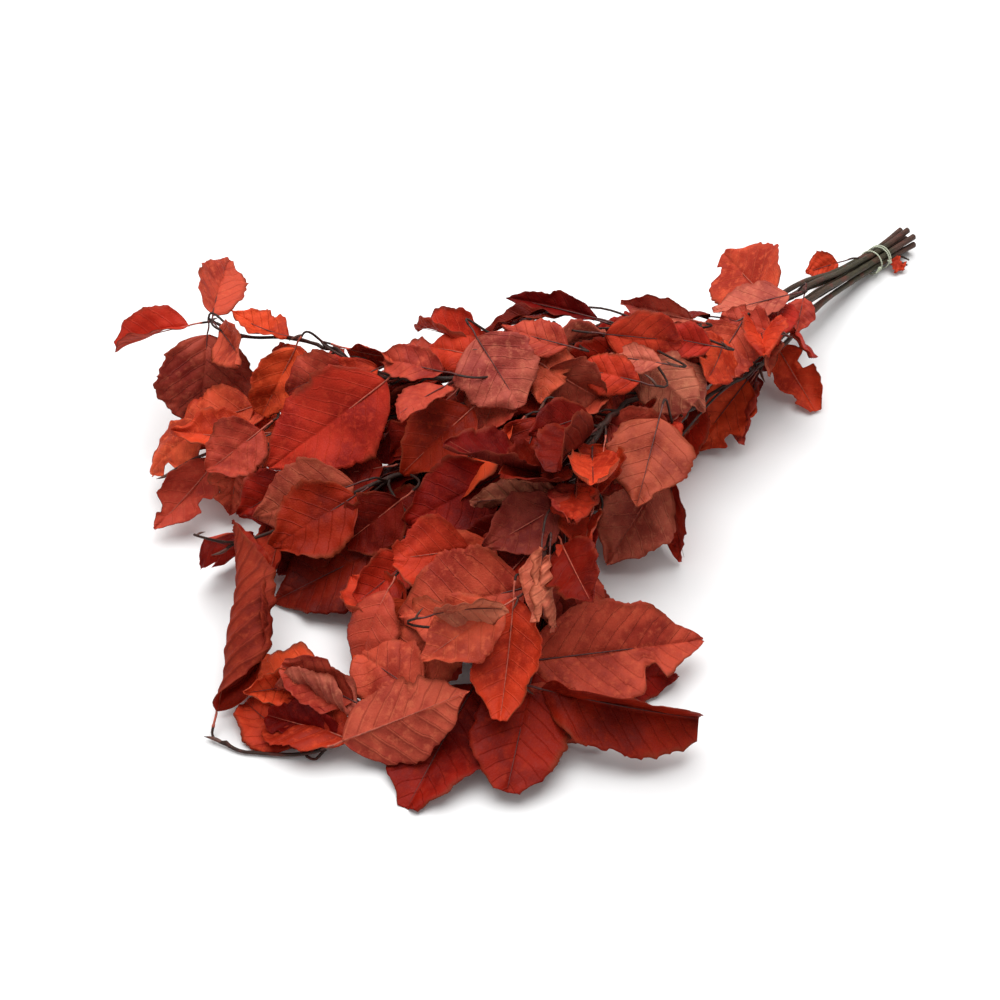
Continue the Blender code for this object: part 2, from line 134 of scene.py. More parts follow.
# A leaf: where its blade starts, which way it points, rises and rolls, its length, its width as a
# share of the length, and its colour. Places are from the layout's own origin.
Leaf = namedtuple("Leaf", "form base heading rise roll length width tone")

# A branch: its place in the ring (None is the middle), its route past the bundle, the leaves that
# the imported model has, and the small ones that it leaves out
Branch = namedtuple("Branch", "ring route leaves small")
BRANCHES = (
    Branch(
        ring=39,
        route=(
            (0.185, -0.058, 0.052), (0.120, -0.044, 0.066), (0.050, -0.022, 0.086),
            (-0.010, 0.020, 0.094), (-0.030, 0.060, 0.088), (-0.025, 0.105, 0.084),
            (-0.030, 0.135, 0.080), (-0.038, 0.155, 0.077), (-0.040, 0.175, 0.074),
        ),
        leaves=(
            Leaf("waved", (-0.035, 0.055, 0.090), 155, -25, -45, 0.085, 0.66, "red"),
            Leaf("pleated", (-0.046, 0.188, 0.070), -150, -46, -25, 0.062, 0.95, "wine"),
            Leaf("cupped", (-0.032, 0.196, 0.074), 40, -10, 35, 0.065, 0.62, "rose"),
            Leaf("folded", (-0.046, 0.204, 0.070), 130, -10, -5, 0.054, 0.62, "red"),
            Leaf("cupped", (-0.042, 0.182, 0.078), -110, -15, 60, 0.050, 0.55, "rose"),
            Leaf("cupped", (-0.040, 0.120, 0.086), 160, -55, -50, 0.050, 0.72, "bright"),
            Leaf("arched", (-0.030, 0.065, 0.088), 145, -15, -25, 0.055, 0.60, "red"),
            Leaf("waved", (-0.025, 0.095, 0.086), -85, 0, 105, 0.050, 0.50, "bright"),
            Leaf("arched", (0.000, 0.045, 0.092), 115, -10, -15, 0.050, 0.60, "rose"),
        ),
        small=(
            Leaf("cupped", (-0.030, 0.135, 0.080), 100, -5, 5, 0.040, 0.60, "bright"),
            Leaf("waved", (-0.035, 0.085, 0.084), 145, -15, -50, 0.040, 0.80, "rose"),
            Leaf("waved", (-0.020, 0.005, 0.084), 165, -20, -30, 0.055, 0.70, "wine"),
            Leaf("flat", (-0.020, 0.025, 0.098), 100, -5, -30, 0.045, 0.50, "rose"),
        ),
    ),
    Branch(
        ring=347,
        route=(
            (0.185, -0.060, 0.042), (0.120, -0.042, 0.052), (0.050, -0.015, 0.066),
            (-0.010, 0.025, 0.068), (-0.055, 0.075, 0.058), (-0.080, 0.110, 0.046),
            (-0.100, 0.135, 0.040), (-0.120, 0.155, 0.028),
        ),
        leaves=(
            Leaf("arched", (-0.090, 0.150, 0.046), 145, -20, -5, 0.050, 0.60, "orange"),
            Leaf("cupped", (-0.080, 0.120, 0.048), 125, -10, -15, 0.050, 0.62, "bright"),
            Leaf("arched", (-0.060, 0.125, 0.050), 130, -10, 5, 0.050, 0.55, "orange"),
            Leaf("cupped", (-0.100, 0.135, 0.040), 155, -30, -25, 0.055, 0.62, "rose"),
            Leaf("cupped", (-0.055, 0.125, 0.056), -155, -35, 25, 0.050, 0.60, "orange"),
        ),
        small=(
            Leaf("pleated", (-0.095, 0.120, 0.046), -160, -55, -20, 0.040, 0.75, "rose"),
            Leaf("waved", (-0.065, 0.135, 0.052), 135, -15, -40, 0.055, 0.70, "orange"),
            Leaf("waved", (-0.080, 0.115, 0.044), 165, -15, -45, 0.040, 0.90, "rose"),
        ),
    ),
    Branch(
        ring=296,
        route=(
            (0.185, -0.062, 0.032), (0.120, -0.048, 0.038), (0.060, -0.025, 0.050),
            (0.000, 0.000, 0.054), (-0.045, 0.022, 0.052), (-0.090, 0.045, 0.044),
            (-0.120, 0.065, 0.036), (-0.150, 0.080, 0.033),
        ),
        leaves=(
            Leaf("flat", (-0.085, 0.040, 0.052), 135, -20, -50, 0.060, 0.60, "mauve"),
            Leaf("cupped", (-0.110, 0.075, 0.044), -150, -35, 40, 0.050, 0.55, "bright"),
            Leaf("flat", (-0.090, 0.010, 0.030), 145, -20, -20, 0.075, 0.60, "dark"),
            Leaf("cupped", (-0.090, 0.045, 0.036), 155, -25, -20, 0.050, 0.60, "dark"),
            Leaf("arched", (-0.055, 0.000, 0.042), 140, -20, -30, 0.065, 0.60, "dark"),
            Leaf("flat", (-0.155, 0.090, 0.036), -5, -55, 120, 0.045, 0.80, "red"),
        ),
        small=(
            Leaf("waved", (-0.090, 0.035, 0.050), 150, -25, -40, 0.055, 0.80, "wine"),
            Leaf("flat", (-0.100, 0.070, 0.050), 145, -25, -50, 0.040, 0.80, "wine"),
            Leaf("flat", (-0.080, 0.010, 0.056), 145, -35, -50, 0.045, 0.80, "dark"),
            Leaf("waved", (-0.040, -0.030, 0.070), 150, -15, -40, 0.060, 0.70, "wine"),
        ),
    ),
    Branch(
        ring=244,
        route=(
            (0.185, -0.070, 0.022), (0.120, -0.056, 0.020), (0.040, -0.042, 0.028),
            (-0.050, -0.037, 0.026), (-0.125, -0.045, 0.018), (-0.200, -0.045, 0.008),
            (-0.230, -0.010, 0.003), (-0.236, 0.008, 0.003),
        ),
        leaves=(
            Leaf("rolled", (-0.225, 0.020, 0.006), 25, 25, 55, 0.115, 0.60, "wine"),
            Leaf("pleated", (-0.200, -0.050, 0.012), 100, 0, -10, 0.060, 0.50, "red"),
            Leaf("pleated", (-0.205, -0.050, 0.016), -40, 15, -150, 0.070, 0.58, "salmon"),
            Leaf("rolled", (-0.190, -0.045, 0.024), 95, 10, 30, 0.050, 0.60, "salmon"),
            Leaf("waved", (-0.175, -0.010, 0.014), 125, 4, 10, 0.055, 0.60, "bright"),
            Leaf("cupped", (-0.135, -0.030, 0.026), 70, -15, 0, 0.050, 0.80, "bright"),
            Leaf("arched", (-0.130, -0.020, 0.038), 175, -35, 15, 0.050, 0.50, "rose"),
        ),
        small=(
            Leaf("waved", (-0.120, -0.030, 0.034), 165, -20, -35, 0.045, 0.80, "bright"),
            Leaf("cupped", (-0.095, -0.010, 0.036), 165, -20, -20, 0.045, 0.70, "red"),
            Leaf("arched", (-0.125, -0.055, 0.026), -170, -15, -10, 0.045, 0.70, "red"),
            Leaf("cupped", (-0.190, -0.010, 0.016), 150, 10, -30, 0.035, 0.65, "bright"),
            Leaf("pleated", (-0.200, -0.045, 0.008), 110, 0, -35, 0.050, 0.50, "wine"),
            Leaf("cupped", (-0.185, -0.040, 0.018), 100, 10, -35, 0.045, 0.70, "rose"),
            Leaf("waved", (-0.200, -0.050, 0.008), 100, -5, -35, 0.040, 0.50, "bright"),
            Leaf("waved", (-0.205, -0.045, 0.008), 105, -5, -35, 0.065, 0.45, "red"),
            Leaf("arched", (-0.165, -0.070, 0.024), 85, 0, -30, 0.055, 0.70, "rose"),
            Leaf("waved", (-0.215, -0.025, 0.006), 90, 0, -25, 0.045, 0.70, "bright"),
        ),
    ),
    Branch(
        ring=142,
        route=(
            (0.185, -0.076, 0.048), (0.120, -0.070, 0.066), (0.035, -0.058, 0.076),
            (-0.020, -0.065, 0.070), (-0.045, -0.075, 0.066), (-0.095, -0.085, 0.054),
            (-0.118, -0.084, 0.040),
        ),
        leaves=(
            Leaf("waved", (-0.095, -0.085, 0.054), 135, -10, -40, 0.070, 0.66, "rose"),
            Leaf("waved", (-0.080, -0.055, 0.058), 145, -15, -25, 0.055, 0.62, "orange"),
            Leaf("cupped", (-0.105, -0.085, 0.052), -150, -35, 5, 0.070, 0.58, "bright"),
            Leaf("flat", (-0.135, -0.082, 0.022), -170, -14, -15, 0.085, 0.60, "wine"),
            Leaf("flat", (-0.115, -0.105, 0.020), -160, -14, -10, 0.080, 0.58, "wine"),
            Leaf("flat", (-0.045, -0.075, 0.068), 155, -20, -30, 0.050, 0.66, "mauve"),
            Leaf("rolled", (-0.040, -0.070, 0.070), 115, -5, 105, 0.050, 0.60, "tan"),
            Leaf("waved", (-0.115, -0.085, 0.046), 150, -20, -30, 0.050, 0.60, "rose"),
            Leaf("arched", (-0.015, -0.020, 0.080), 165, -15, 30, 0.060, 0.60, "bright"),
        ),
        small=(
            Leaf("cupped", (-0.140, -0.060, 0.054), -45, 5, 90, 0.040, 0.60, "tan"),
            Leaf("folded", (-0.080, -0.085, 0.068), -155, -25, 55, 0.040, 0.50, "salmon"),
            Leaf("flat", (-0.020, -0.080, 0.040), -175, -40, 30, 0.045, 0.60, "red"),
            Leaf("rolled", (-0.080, -0.090, 0.066), -150, -35, 60, 0.040, 0.50, "salmon"),
            Leaf("waved", (-0.120, -0.070, 0.046), 140, -20, -35, 0.060, 0.72, "rose"),
            Leaf("waved", (-0.090, -0.045, 0.052), 145, -10, -40, 0.045, 0.90, "red"),
            Leaf("flat", (-0.035, -0.070, 0.060), 180, -15, -15, 0.045, 0.80, "mauve"),
            Leaf("waved", (-0.005, -0.030, 0.084), -165, -25, -5, 0.040, 0.80, "wine"),
        ),
    ),
    Branch(
        ring=None,
        route=(
            (0.185, -0.070, 0.040), (0.120, -0.062, 0.050), (0.030, -0.068, 0.060),
            (-0.020, -0.077, 0.057), (-0.060, -0.086, 0.046), (-0.095, -0.092, 0.034),
            (-0.112, -0.100, 0.024),
        ),
        leaves=(
            Leaf("pleated", (-0.115, -0.100, 0.024), -45, 0, 40, 0.100, 0.56, "rose"),
            Leaf("folded", (-0.126, -0.118, 0.018), -70, -2, 65, 0.098, 0.50, "wine"),
            Leaf("waved", (-0.106, -0.122, 0.010), -48, -2, 20, 0.062, 0.52, "wine"),
        ),
        small=(
            Leaf("flat", (-0.130, -0.105, 0.016), -80, -15, 55, 0.050, 0.62, "rose"),
        ),
    ),
    Branch(
        ring=193,
        route=(
            (0.185, -0.082, 0.034), (0.125, -0.082, 0.046), (0.085, -0.080, 0.056),
            (0.055, -0.086, 0.056), (0.025, -0.095, 0.050),
        ),
        leaves=(
            Leaf("cupped", (0.030, -0.055, 0.072), -80, -15, 50, 0.050, 0.80, "rose"),
            Leaf("flat", (0.025, -0.095, 0.050), 170, -45, -25, 0.060, 0.68, "rose"),
            Leaf("flat", (0.035, -0.095, 0.050), -130, -55, 70, 0.050, 0.60, "bright"),
            Leaf("cupped", (0.145, -0.085, 0.042), 160, -45, -35, 0.055, 0.80, "bright"),
            Leaf("cupped", (0.205, -0.075, 0.034), -110, -35, 35, 0.055, 0.62, "orange"),
        ),
        small=(
            Leaf("flat", (0.035, -0.085, 0.084), -160, -20, -10, 0.055, 0.85, "mauve"),
            Leaf("flat", (0.145, -0.075, 0.070), 180, -20, -25, 0.045, 0.85, "rose"),
        ),
    ),
    Branch(
        ring=90,
        route=(
            (0.185, -0.066, 0.058), (0.120, -0.052, 0.080), (0.080, -0.040, 0.091),
            (0.060, -0.026, 0.097), (0.040, -0.014, 0.100), (0.020, 0.004, 0.104),
            (0.005, 0.014, 0.107),
        ),
        leaves=(
            Leaf("flat", (0.205, -0.065, 0.056), 60, 0, -40, 0.062, 0.85, "orange"),
            Leaf("flat", (0.200, -0.080, 0.064), 150, -20, 0, 0.050, 0.70, "salmon"),
            Leaf("flat", (0.065, -0.050, 0.090), -95, -30, -150, 0.050, 0.70, "tan"),
            Leaf("folded", (0.070, -0.025, 0.096), -45, -10, 75, 0.050, 0.62, "bright"),
            Leaf("arched", (0.065, -0.020, 0.106), 100, 0, 25, 0.060, 0.50, "dark"),
            Leaf("folded", (0.010, 0.020, 0.102), 85, -5, -5, 0.055, 0.60, "bright"),
            Leaf("flat", (0.005, 0.020, 0.112), -110, -25, 25, 0.050, 0.95, "salmon"),
        ),
        small=(
            Leaf("flat", (0.180, -0.065, 0.060), 140, -30, -25, 0.040, 0.70, "red"),
            Leaf("cupped", (0.175, -0.080, 0.048), 145, -30, -15, 0.040, 0.70, "red"),
            Leaf("flat", (0.260, -0.070, 0.038), -155, -45, 20, 0.040, 0.70, "rose"),
            Leaf("flat", (0.325, -0.060, 0.016), 140, -10, -50, 0.024, 0.90, "bright"),
            Leaf("flat", (0.085, -0.060, 0.086), -100, -40, 180, 0.040, 0.70, "tan"),
            Leaf("flat", (0.005, 0.000, 0.096), -175, -40, 5, 0.040, 0.80, "rose"),
            Leaf("flat", (0.035, -0.010, 0.100), -155, -25, 5, 0.040, 0.75, "rose"),
            Leaf("waved", (0.020, -0.020, 0.098), -75, -25, 60, 0.040, 0.90, "mauve"),
            Leaf("folded", (0.070, 0.005, 0.098), 135, -5, 10, 0.050, 0.42, "dark"),
            Leaf("flat", (0.030, -0.010, 0.098), -35, -5, 95, 0.040, 0.70, "salmon"),
            Leaf("waved", (0.055, -0.035, 0.108), -50, -10, 55, 0.050, 0.62, "bright"),
            Leaf("folded", (0.110, -0.060, 0.096), 110, 5, -45, 0.045, 0.50, "salmon"),
            Leaf("flat", (0.030, -0.025, 0.108), 105, -5, -30, 0.040, 0.60, "rose"),
            Leaf("flat", (0.100, -0.080, 0.092), 120, 10, -45, 0.035, 0.60, "red"),
            Leaf("folded", (0.060, -0.025, 0.112), 100, 0, -30, 0.060, 0.30, "dark"),
            Leaf("waved", (0.035, -0.005, 0.108), 120, -5, -5, 0.050, 0.50, "red"),
            Leaf("arched", (0.000, 0.010, 0.104), 95, -5, -30, 0.045, 0.55, "red"),
            Leaf("flat", (0.060, -0.070, 0.100), 110, 0, -30, 0.035, 0.50, "salmon"),
            Leaf("flat", (0.045, -0.065, 0.094), 110, 5, -40, 0.040, 0.60, "red"),
            Leaf("flat", (0.160, -0.090, 0.070), 110, 5, -45, 0.035, 0.70, "rose"),
            Leaf("flat", (0.225, -0.080, 0.050), -160, -20, 5, 0.030, 0.60, "rose"),
        ),
    ),
)

# Leans (rise, heading and roll) and lifts that a leaf may take to lie clear of its neighbours, the
# smallest first
TURNS = sorted(
    product(
        (0, 4, -4, 8, -8, 12, -12, 16, -16, 20, -20),
        (0, 5, -5, 10, -10),
        (0, 8, -8, 16, -16, 24, -24),
    ),
    key=lambda turn: hypot(*turn),
)
LIFTS = (0, 0.003, -0.003, 0.006, -0.006, 0.010, -0.010, 0.014, -0.014, 0.018, -0.018)

# How many of them a small leaf may take, and the lean in degrees that counts as much as a lift of
# one metre
SMALL_TURNS = 120
SMALL_LIFTS = 7
LIFT_COST = 1600

TWIG_REACHES = (0.012, 0.006, 0.020, 0.030, 0.045, 0.060, 0.080, 0.100)
LEAF_MATCH = 0.001
MERGE_DISTANCE = 1e-6

# The space that added leaves keep to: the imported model's box, and a little more at its sides
ROOM = (
    np.array(CAD_BOX[0]) - np.array((0.004, 0.004, 0.0)),
    np.array(CAD_BOX[1]) + np.array((0.004, 0.004, 0.004)),
)

# Leaves added to fill the crown of each branch: the stretch of its stem that they grow on, as
# shares of the whole stem, how many, their colours, and how far they lean away from the stem
Fill = namedtuple("Fill", "branch start end count tones spread")
FILLS = (
    Fill(8, 0.30, 0.98, 26, ("salmon", "rose", "red", "bright", "red", "wine"), (5, 50)),
    Fill(1, 0.30, 0.90, 24, ("rose", "red", "wine", "red", "dark"), (5, 50)),
    Fill(2, 0.30, 0.95, 20, ("red", "wine", "dark", "rose"), (10, 60)),
    Fill(5, 0.30, 0.95, 20, ("rose", "wine", "red", "dark"), (10, 60)),
    Fill(3, 0.30, 0.95, 20, ("dark", "wine", "dark"), (10, 60)),
    Fill(7, 0.25, 0.98, 16, ("rose", "wine", "red", "dark"), (10, 60)),
    Fill(6, 0.30, 0.95, 16, ("wine", "red", "dark"), (10, 70)),
    Fill(4, 0.30, 0.60, 12, ("dark", "wine", "dark"), (10, 60)),
    Fill(4, 0.55, 0.88, 14, ("red", "rose", "bright", "wine"), (20, 80)),
    Fill(5, 0.75, 0.99, 12, ("rose", "bright", "red"), (10, 80)),
)
FILL_TRIES = 900
COVER_SHARE = 0.15
MOST_TOUCHED = 1
FILL_LENGTHS = (0.040, 0.062)
FILL_WIDTHS = (0.55, 0.80)
FILL_FORMS = ("flat", "flat", "arched", "cupped", "waved", "folded", "pleated")
FILL_TWIGS = (0.003, 0.012)
FILL_SLOPES = (-0.45, 0.25)
FILL_ROLL = 28

# The ground that the crown hides from someone in front of it, from the stems round by the back,
# the gap that stays open between the branches, and the shaded hollow in the middle, where the
# inner leaves take the darkest tone as painted shade
CROWN_OUTLINE = (
    (0.295, -0.060), (0.305, -0.040), (0.280, -0.030), (0.240, 0.000), (0.195, 0.055),
    (0.150, 0.110), (0.115, 0.145), (0.075, 0.155), (0.055, 0.180), (0.035, 0.235),
    (0.005, 0.265), (-0.040, 0.230), (-0.035, 0.190), (-0.090, 0.220), (-0.130, 0.170),
    (-0.085, 0.115), (-0.125, 0.110), (-0.155, 0.075), (-0.180, 0.030), (-0.210, 0.020),
    (-0.195, -0.040), (-0.210, -0.090), (-0.170, -0.140), (-0.140, -0.125), (-0.100, -0.200),
    (-0.025, -0.155), (-0.020, -0.105), (-0.015, -0.085), (0.010, -0.060), (0.030, -0.105),
    (0.090, -0.075), (0.135, -0.095), (0.180, -0.085), (0.200, -0.110), (0.255, -0.085),
)
CROWN_GAP = (
    (-0.140, 0.065), (-0.105, 0.045), (-0.105, 0.015), (-0.135, -0.005), (-0.160, -0.005),
    (-0.175, 0.015), (-0.170, 0.040),
)
SHADED_CROWN_HOLLOW = (
    (-0.020, 0.070), (0.025, 0.075), (0.070, 0.035), (0.090, -0.005), (0.070, -0.025),
    (0.020, -0.030), (-0.030, -0.020), (-0.040, 0.030),
)

# What is special about single leaves. A notch is its side (1 is to the left when looking along the
# leaf from its stalk), its place along the blade, its half length and its depth, and a hole is its
# place along and across and its size, all as shares. cut is where a torn tip ends, point is the
# share of the blade that its drawn-out tip takes, rib is the midrib's colour, form is the finer
# bend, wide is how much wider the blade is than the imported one, and tone is its colour where that
# isn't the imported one's.
Marks = namedtuple("Marks", "notches holes cut point rib form wide tone")
WHOLE = Marks((), (), 1.0, 0.22, "pale", None, 1.08, None)
MARKS = {
    "leaf_1_1": WHOLE._replace(point=0.12),
    "leaf_1_2": WHOLE._replace(rib="dark", wide=1.15, tone="mauve"),
    "leaf_1_3": WHOLE._replace(rib="dark", wide=0.88, cut=0.95),
    "leaf_1_4": WHOLE._replace(cut=0.93),
    "leaf_2_1": WHOLE._replace(notches=((1, 0.66, 0.10, 0.55),), cut=0.95),
    "leaf_2_4": WHOLE._replace(notches=((1, 0.45, 0.10, 0.45), (-1, 0.78, 0.08, 0.50))),
    "leaf_3_1": WHOLE._replace(rib="dark", wide=1.30),
    "leaf_3_3": WHOLE._replace(rib="dark", wide=1.30),
    "leaf_3_4": WHOLE._replace(wide=1.30),
    "leaf_4_1": WHOLE._replace(point=0.35, form=Form(24, 30, 150, 12, 0.03), wide=1.0),
    "leaf_4_2": WHOLE._replace(wide=1.40),
    "leaf_4_3": WHOLE._replace(
        notches=((-1, 0.60, 0.06, 0.25),), point=0.15, wide=1.15, tone="rose"
    ),
    "leaf_4_4": WHOLE._replace(wide=1.30),
    "leaf_4_5": WHOLE._replace(wide=1.45),
    "leaf_4_6": WHOLE._replace(wide=1.20),
    "leaf_4_7": WHOLE._replace(wide=1.35),
    "leaf_5_1": WHOLE._replace(rib="dark", notches=((1, 0.70, 0.06, 0.30),), wide=1.35),
    "leaf_5_2": WHOLE._replace(notches=((-1, 0.55, 0.06, 0.25),), wide=1.30),
    "leaf_5_3": WHOLE._replace(cut=0.94, tone="red"),
    "leaf_5_5": WHOLE._replace(cut=0.88, rib="dark"),
    "leaf_5_8": WHOLE._replace(wide=1.30),
    "leaf_6_1": WHOLE._replace(notches=((-1, 0.66, 0.07, 0.55),), rib="dark", point=0.30),
    "leaf_6_2": WHOLE._replace(cut=0.84, notches=((1, 0.55, 0.08, 0.45),), rib="dark"),
    "leaf_7_1": WHOLE._replace(notches=((1, 0.75, 0.08, 0.40),)),
    # leaf_7_2's salmon is paler than its rose partly for its own pinker colour and partly as
    # painted light that lifts it out of the shade it lies in
    "leaf_7_2": WHOLE._replace(tone="salmon", wide=1.15),
    "leaf_7_5": WHOLE._replace(
        notches=((1, 0.35, 0.12, 0.60), (-1, 0.70, 0.08, 0.35)), cut=0.94, tone="bright"
    ),
    "leaf_8_1": WHOLE._replace(notches=((1, 0.80, 0.07, 0.45),), cut=0.96),
    "leaf_8_6": WHOLE._replace(holes=((0.55, 0.30, 0.05),)),
    "leaf_8_7": WHOLE._replace(rib="dark", cut=0.96),
}
BITE_CHANCE = 0.45
DARK_RIB_CHANCE = 0.65

# A blade's half width as a share of its length, near enough to make its holes round
HOLE_ASPECT = 0.3

# How many leaves that fill the crown one piece takes, so that no piece gets too large
MOST_INNER_LEAVES = 40

# Dye colours of the leaves, seen from above. The inner leaves in the crown's hollow take the dark
# one as painted shade.
TONES = {
    "red": (0.54, 0.030, 0.012),
    "bright": (0.66, 0.052, 0.018),
    "orange": (0.66, 0.072, 0.030),
    "wine": (0.30, 0.009, 0.002),
    "dark": (0.19, 0.004, 0.001),
    "rose": (0.57, 0.070, 0.036),
    "salmon": (0.63, 0.135, 0.082),
    "tan": (0.58, 0.150, 0.085),
    "mauve": (0.40, 0.060, 0.034),
}

# An underside is this share of the upper side's colour and a pale lift, which is full where the
# upper side's red is at UNDERSIDE_FULL
UNDERSIDE_SHARE = 0.85
UNDERSIDE_LIFT = (0.09, 0.034, 0.018)
UNDERSIDE_FULL = 0.6

DRY_EDGE = (0.22, 0.030, 0.012)
RIB_COLOURS = {"pale": (0.48, 0.085, 0.045), "dark": (0.10, 0.012, 0.008)}

# Fine shape of the blades
VEIN_SPACING = 0.0085
VEIN_COUNTS = (6.5, 11)
VEIN_SWEEP = 0.85
VEIN_STAGGER = 0.3
TOOTH_DEPTH = 0.035
EDGE_LEAST = 0.00015
PLEAT = 0.0004
PLEATS = {"pleated": 0.0011, "rolled": 0.0024}
MIDRIB_GROOVE = 0.0005
EDGE_WAVE = 0.0007
EDGE_CURL = 0.0012
TIP_CURL = 0.0020
FLOOR_GAP = 0.0006

# Columns and rows of a blade's grid: for a leaf of this length or more, a shorter one, and one of
# many in a piece
LARGE_LEAF = 0.06
BLADE_GRIDS = {"large": (32, 90), "plain": (24, 60), "fill": (16, 44)}

# Values kept at the corners of a blade for its material, and the number of each corner
LEAF_LAYERS = ("vein_phase", "across_share", "leaf_tint", "pale_veins", "corner")

# Uneven outline and bulges of a blade: how many waves along it, and their height as a share of the
# half width and in metres
OUTLINE_WAVES = ((1.6, 0.05), (3.1, 0.035), (7.3, 0.02), (14.7, 0.012))
BULGES = ((1.1, 0.0011), (2.3, 0.0006), (4.2, 0.0003))

# A rib's radius, how much thicker its foot is, its rows of corners along the stalk and along the
# blade, and where on the blade it ends
RIB_RADIUS = 0.0005
RIB_FOOT = 1.35
STALK_ROWS = 8
RIB_ROWS = 26
RIB_END = 0.97

# Fine shape of the branches and the tie
FINE_TWIG_POINTS = 12
TWIG_TAPER = (1.1, 0.75)
TWIG_FOOT = 1.3
BUD_RADIUS = 0.0009
BUD_CHANCE = 0.35
BUD_LEAN = 0.55
SIDE_BUD_LENGTHS = (0.006, 0.010)
END_BUD_LENGTHS = (0.009, 0.012)
NODE_SWELL = 0.16
NODE_ROWS = 1.3
PITH_SHARE = 0.55
TIE_STEPS_PER_TURN = 120
TIE_SPACING = 0.0003

# The torn scrap's place along, across and up from the middle of the cut ends, and its two stubs:
# how far along each grows, how long it is, and its radius at its ends
SCRAP_PLACE = (0.029, 0.007, -0.003)
SCRAP_STUBS = ((0.019, 0.010), (0.026, 0.013))
STUB_RADII = (0.0008, 0.0006)

# How many of a stem's first rows lie in the tie or just past it, where no node bends the stem
TIED_STRETCH = 25

# How far from the cut end the bark is: where it turns olive, is fully so, starts to fade and is
# plain again, where it starts to darken and is darkest, and what a twig counts from
OLIVE_BARK = (0.020, 0.028, 0.060, 0.200)
DARK_BARK = (0.180, 0.360)
TWIG_RUN = 1.0
BARK_LAYERS = ("around_x", "around_y", "run")
BARK_SKIN, BUD_SKIN, CUT_SKIN = 0, 1, 2

# Stage: the camera's height, its angle below the horizon, its turn from the bunch's own axes and
# its angle of view
CAMERA_HEIGHT = 0.645
CAMERA_PITCH = 43.5
CAMERA_TURN = 54
CAMERA_ANGLE = 36
FLOOR_SIZE = 40
LAMP_PLACE = (0.15, 0.20, 1.40)
LAMP_SIZE = 1.8


def settings():
    return bpy.context.scene.beech_bunch


# ---------------------------------------------------------------- shape of the bunch


def smooth_path(points, spacing):
    """Points about `spacing` apart on a smooth curve through the given ones."""
    knots = [Vector(point) for point in points]
    slopes = [(after - before) / 2 for before, after in zip(knots, knots[2:])]
    slopes = [knots[1] - knots[0], *slopes, knots[-1] - knots[-2]]
    path = [knots[0]]
    for index, (start, end) in enumerate(zip(knots, knots[1:])):
        count = max(1, round((end - start).length / spacing))
        handles = start + slopes[index] / 3, end - slopes[index + 1] / 3
        path += interpolate_bezier(start, *handles, end, count + 1)[1:]
    return path


def bundle_axes(point):
    """Directions across and up at a point of the bundle's centre line."""
    index = BUNDLE_LINE.index(point)
    before = Vector(BUNDLE_LINE[max(index - 1, 0)])
    after = Vector(BUNDLE_LINE[min(index + 1, len(BUNDLE_LINE) - 1)])
    along = (before - after).normalized()
    across = Vector((0, 0, 1)).cross(along).normalized()
    return across, along.cross(across)


def stem_route(branch):
    """The branch's main stem, from its cut end through the tie to its last twig."""
    route = []
    for point, opening in zip(BUNDLE_LINE, BUNDLE_OPENING):
        place = Vector(point)
        if branch.ring is not None:
            across, up = bundle_axes(point)
            turn = radians(branch.ring)
            place += (across * cos(turn) + up * sin(turn)) * RING_RADIUS * opening
        route.append(place)
    return route + [Vector(point) for point in branch.route]


def ease(step):
    """From 0 to 1 with a soft start and end, as the step goes from 0 to 1."""
    step = np.clip(step, 0, 1)
    return step**2 * (3 - 2 * step)


def tie_axes():
    """Where the tie starts, and the directions along the stems, across them and up."""
    near, far = Vector(BUNDLE_LINE[1]), Vector(BUNDLE_LINE[2])
    along = (far - near).normalized()
    across = Vector((0, 0, 1)).cross(along).normalized()
    return near, along, across, along.cross(across)


def tie_place(turns):
    """The middle of the tie's cord after so many turns round the stems."""
    near, along, across, up = tie_axes()
    radius = RING_RADIUS + STEM_DIAMETER / 2 + TIE_CORD_DIAMETER / 2 + TIE_GAP
    ahead = TIE_START + TIE_PITCH * turns + TIE_STEP * float(ease(turns - TIE_STEP_TURN + 0.5))
    angle = 2 * pi * turns
    return near + along * ahead + (across * cos(angle) + up * sin(angle)) * radius


def find_shift():
    """How far the layout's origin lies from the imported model's."""
    steps = 200
    places = np.array([tie_place(TIE_TURNS * step / steps) for step in range(steps + 1)])
    low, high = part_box("tie")
    return Vector((places.max(0) + places.min(0)) / 2) - (low + high) / 2


SHIFT = find_shift()


def arc(angle, bend, reach):
    """Where a curve of steady bend gets to: forward and sideways."""
    if abs(bend) < STRAIGHT:
        return reach * np.cos(angle), reach * np.sin(angle)
    turned = angle + bend * reach
    return (np.sin(turned) - np.sin(angle)) / bend, (np.cos(angle) - np.cos(turned)) / bend


def leaf_axes(leaf):
    """A matrix whose columns point along the midrib, across the blade and out of its upper side."""
    turn = Matrix.Rotation(radians(leaf.heading), 3, "Z")
    turn @= Matrix.Rotation(-radians(leaf.rise), 3, "Y")
    return turn @ Matrix.Rotation(radians(leaf.roll), 3, "X")


def plain_half_width(leaf, u):
    """Half the width of the leaf's plain outline at shares u of its length."""
    swell = np.clip(np.sin(pi * np.clip(u, 0, 1) ** OUTLINE_SKEW), 0, 1) ** OUTLINE_FULLNESS
    return np.maximum(leaf.length * leaf.width / 2 * swell, TIP_WIDTH / 2)


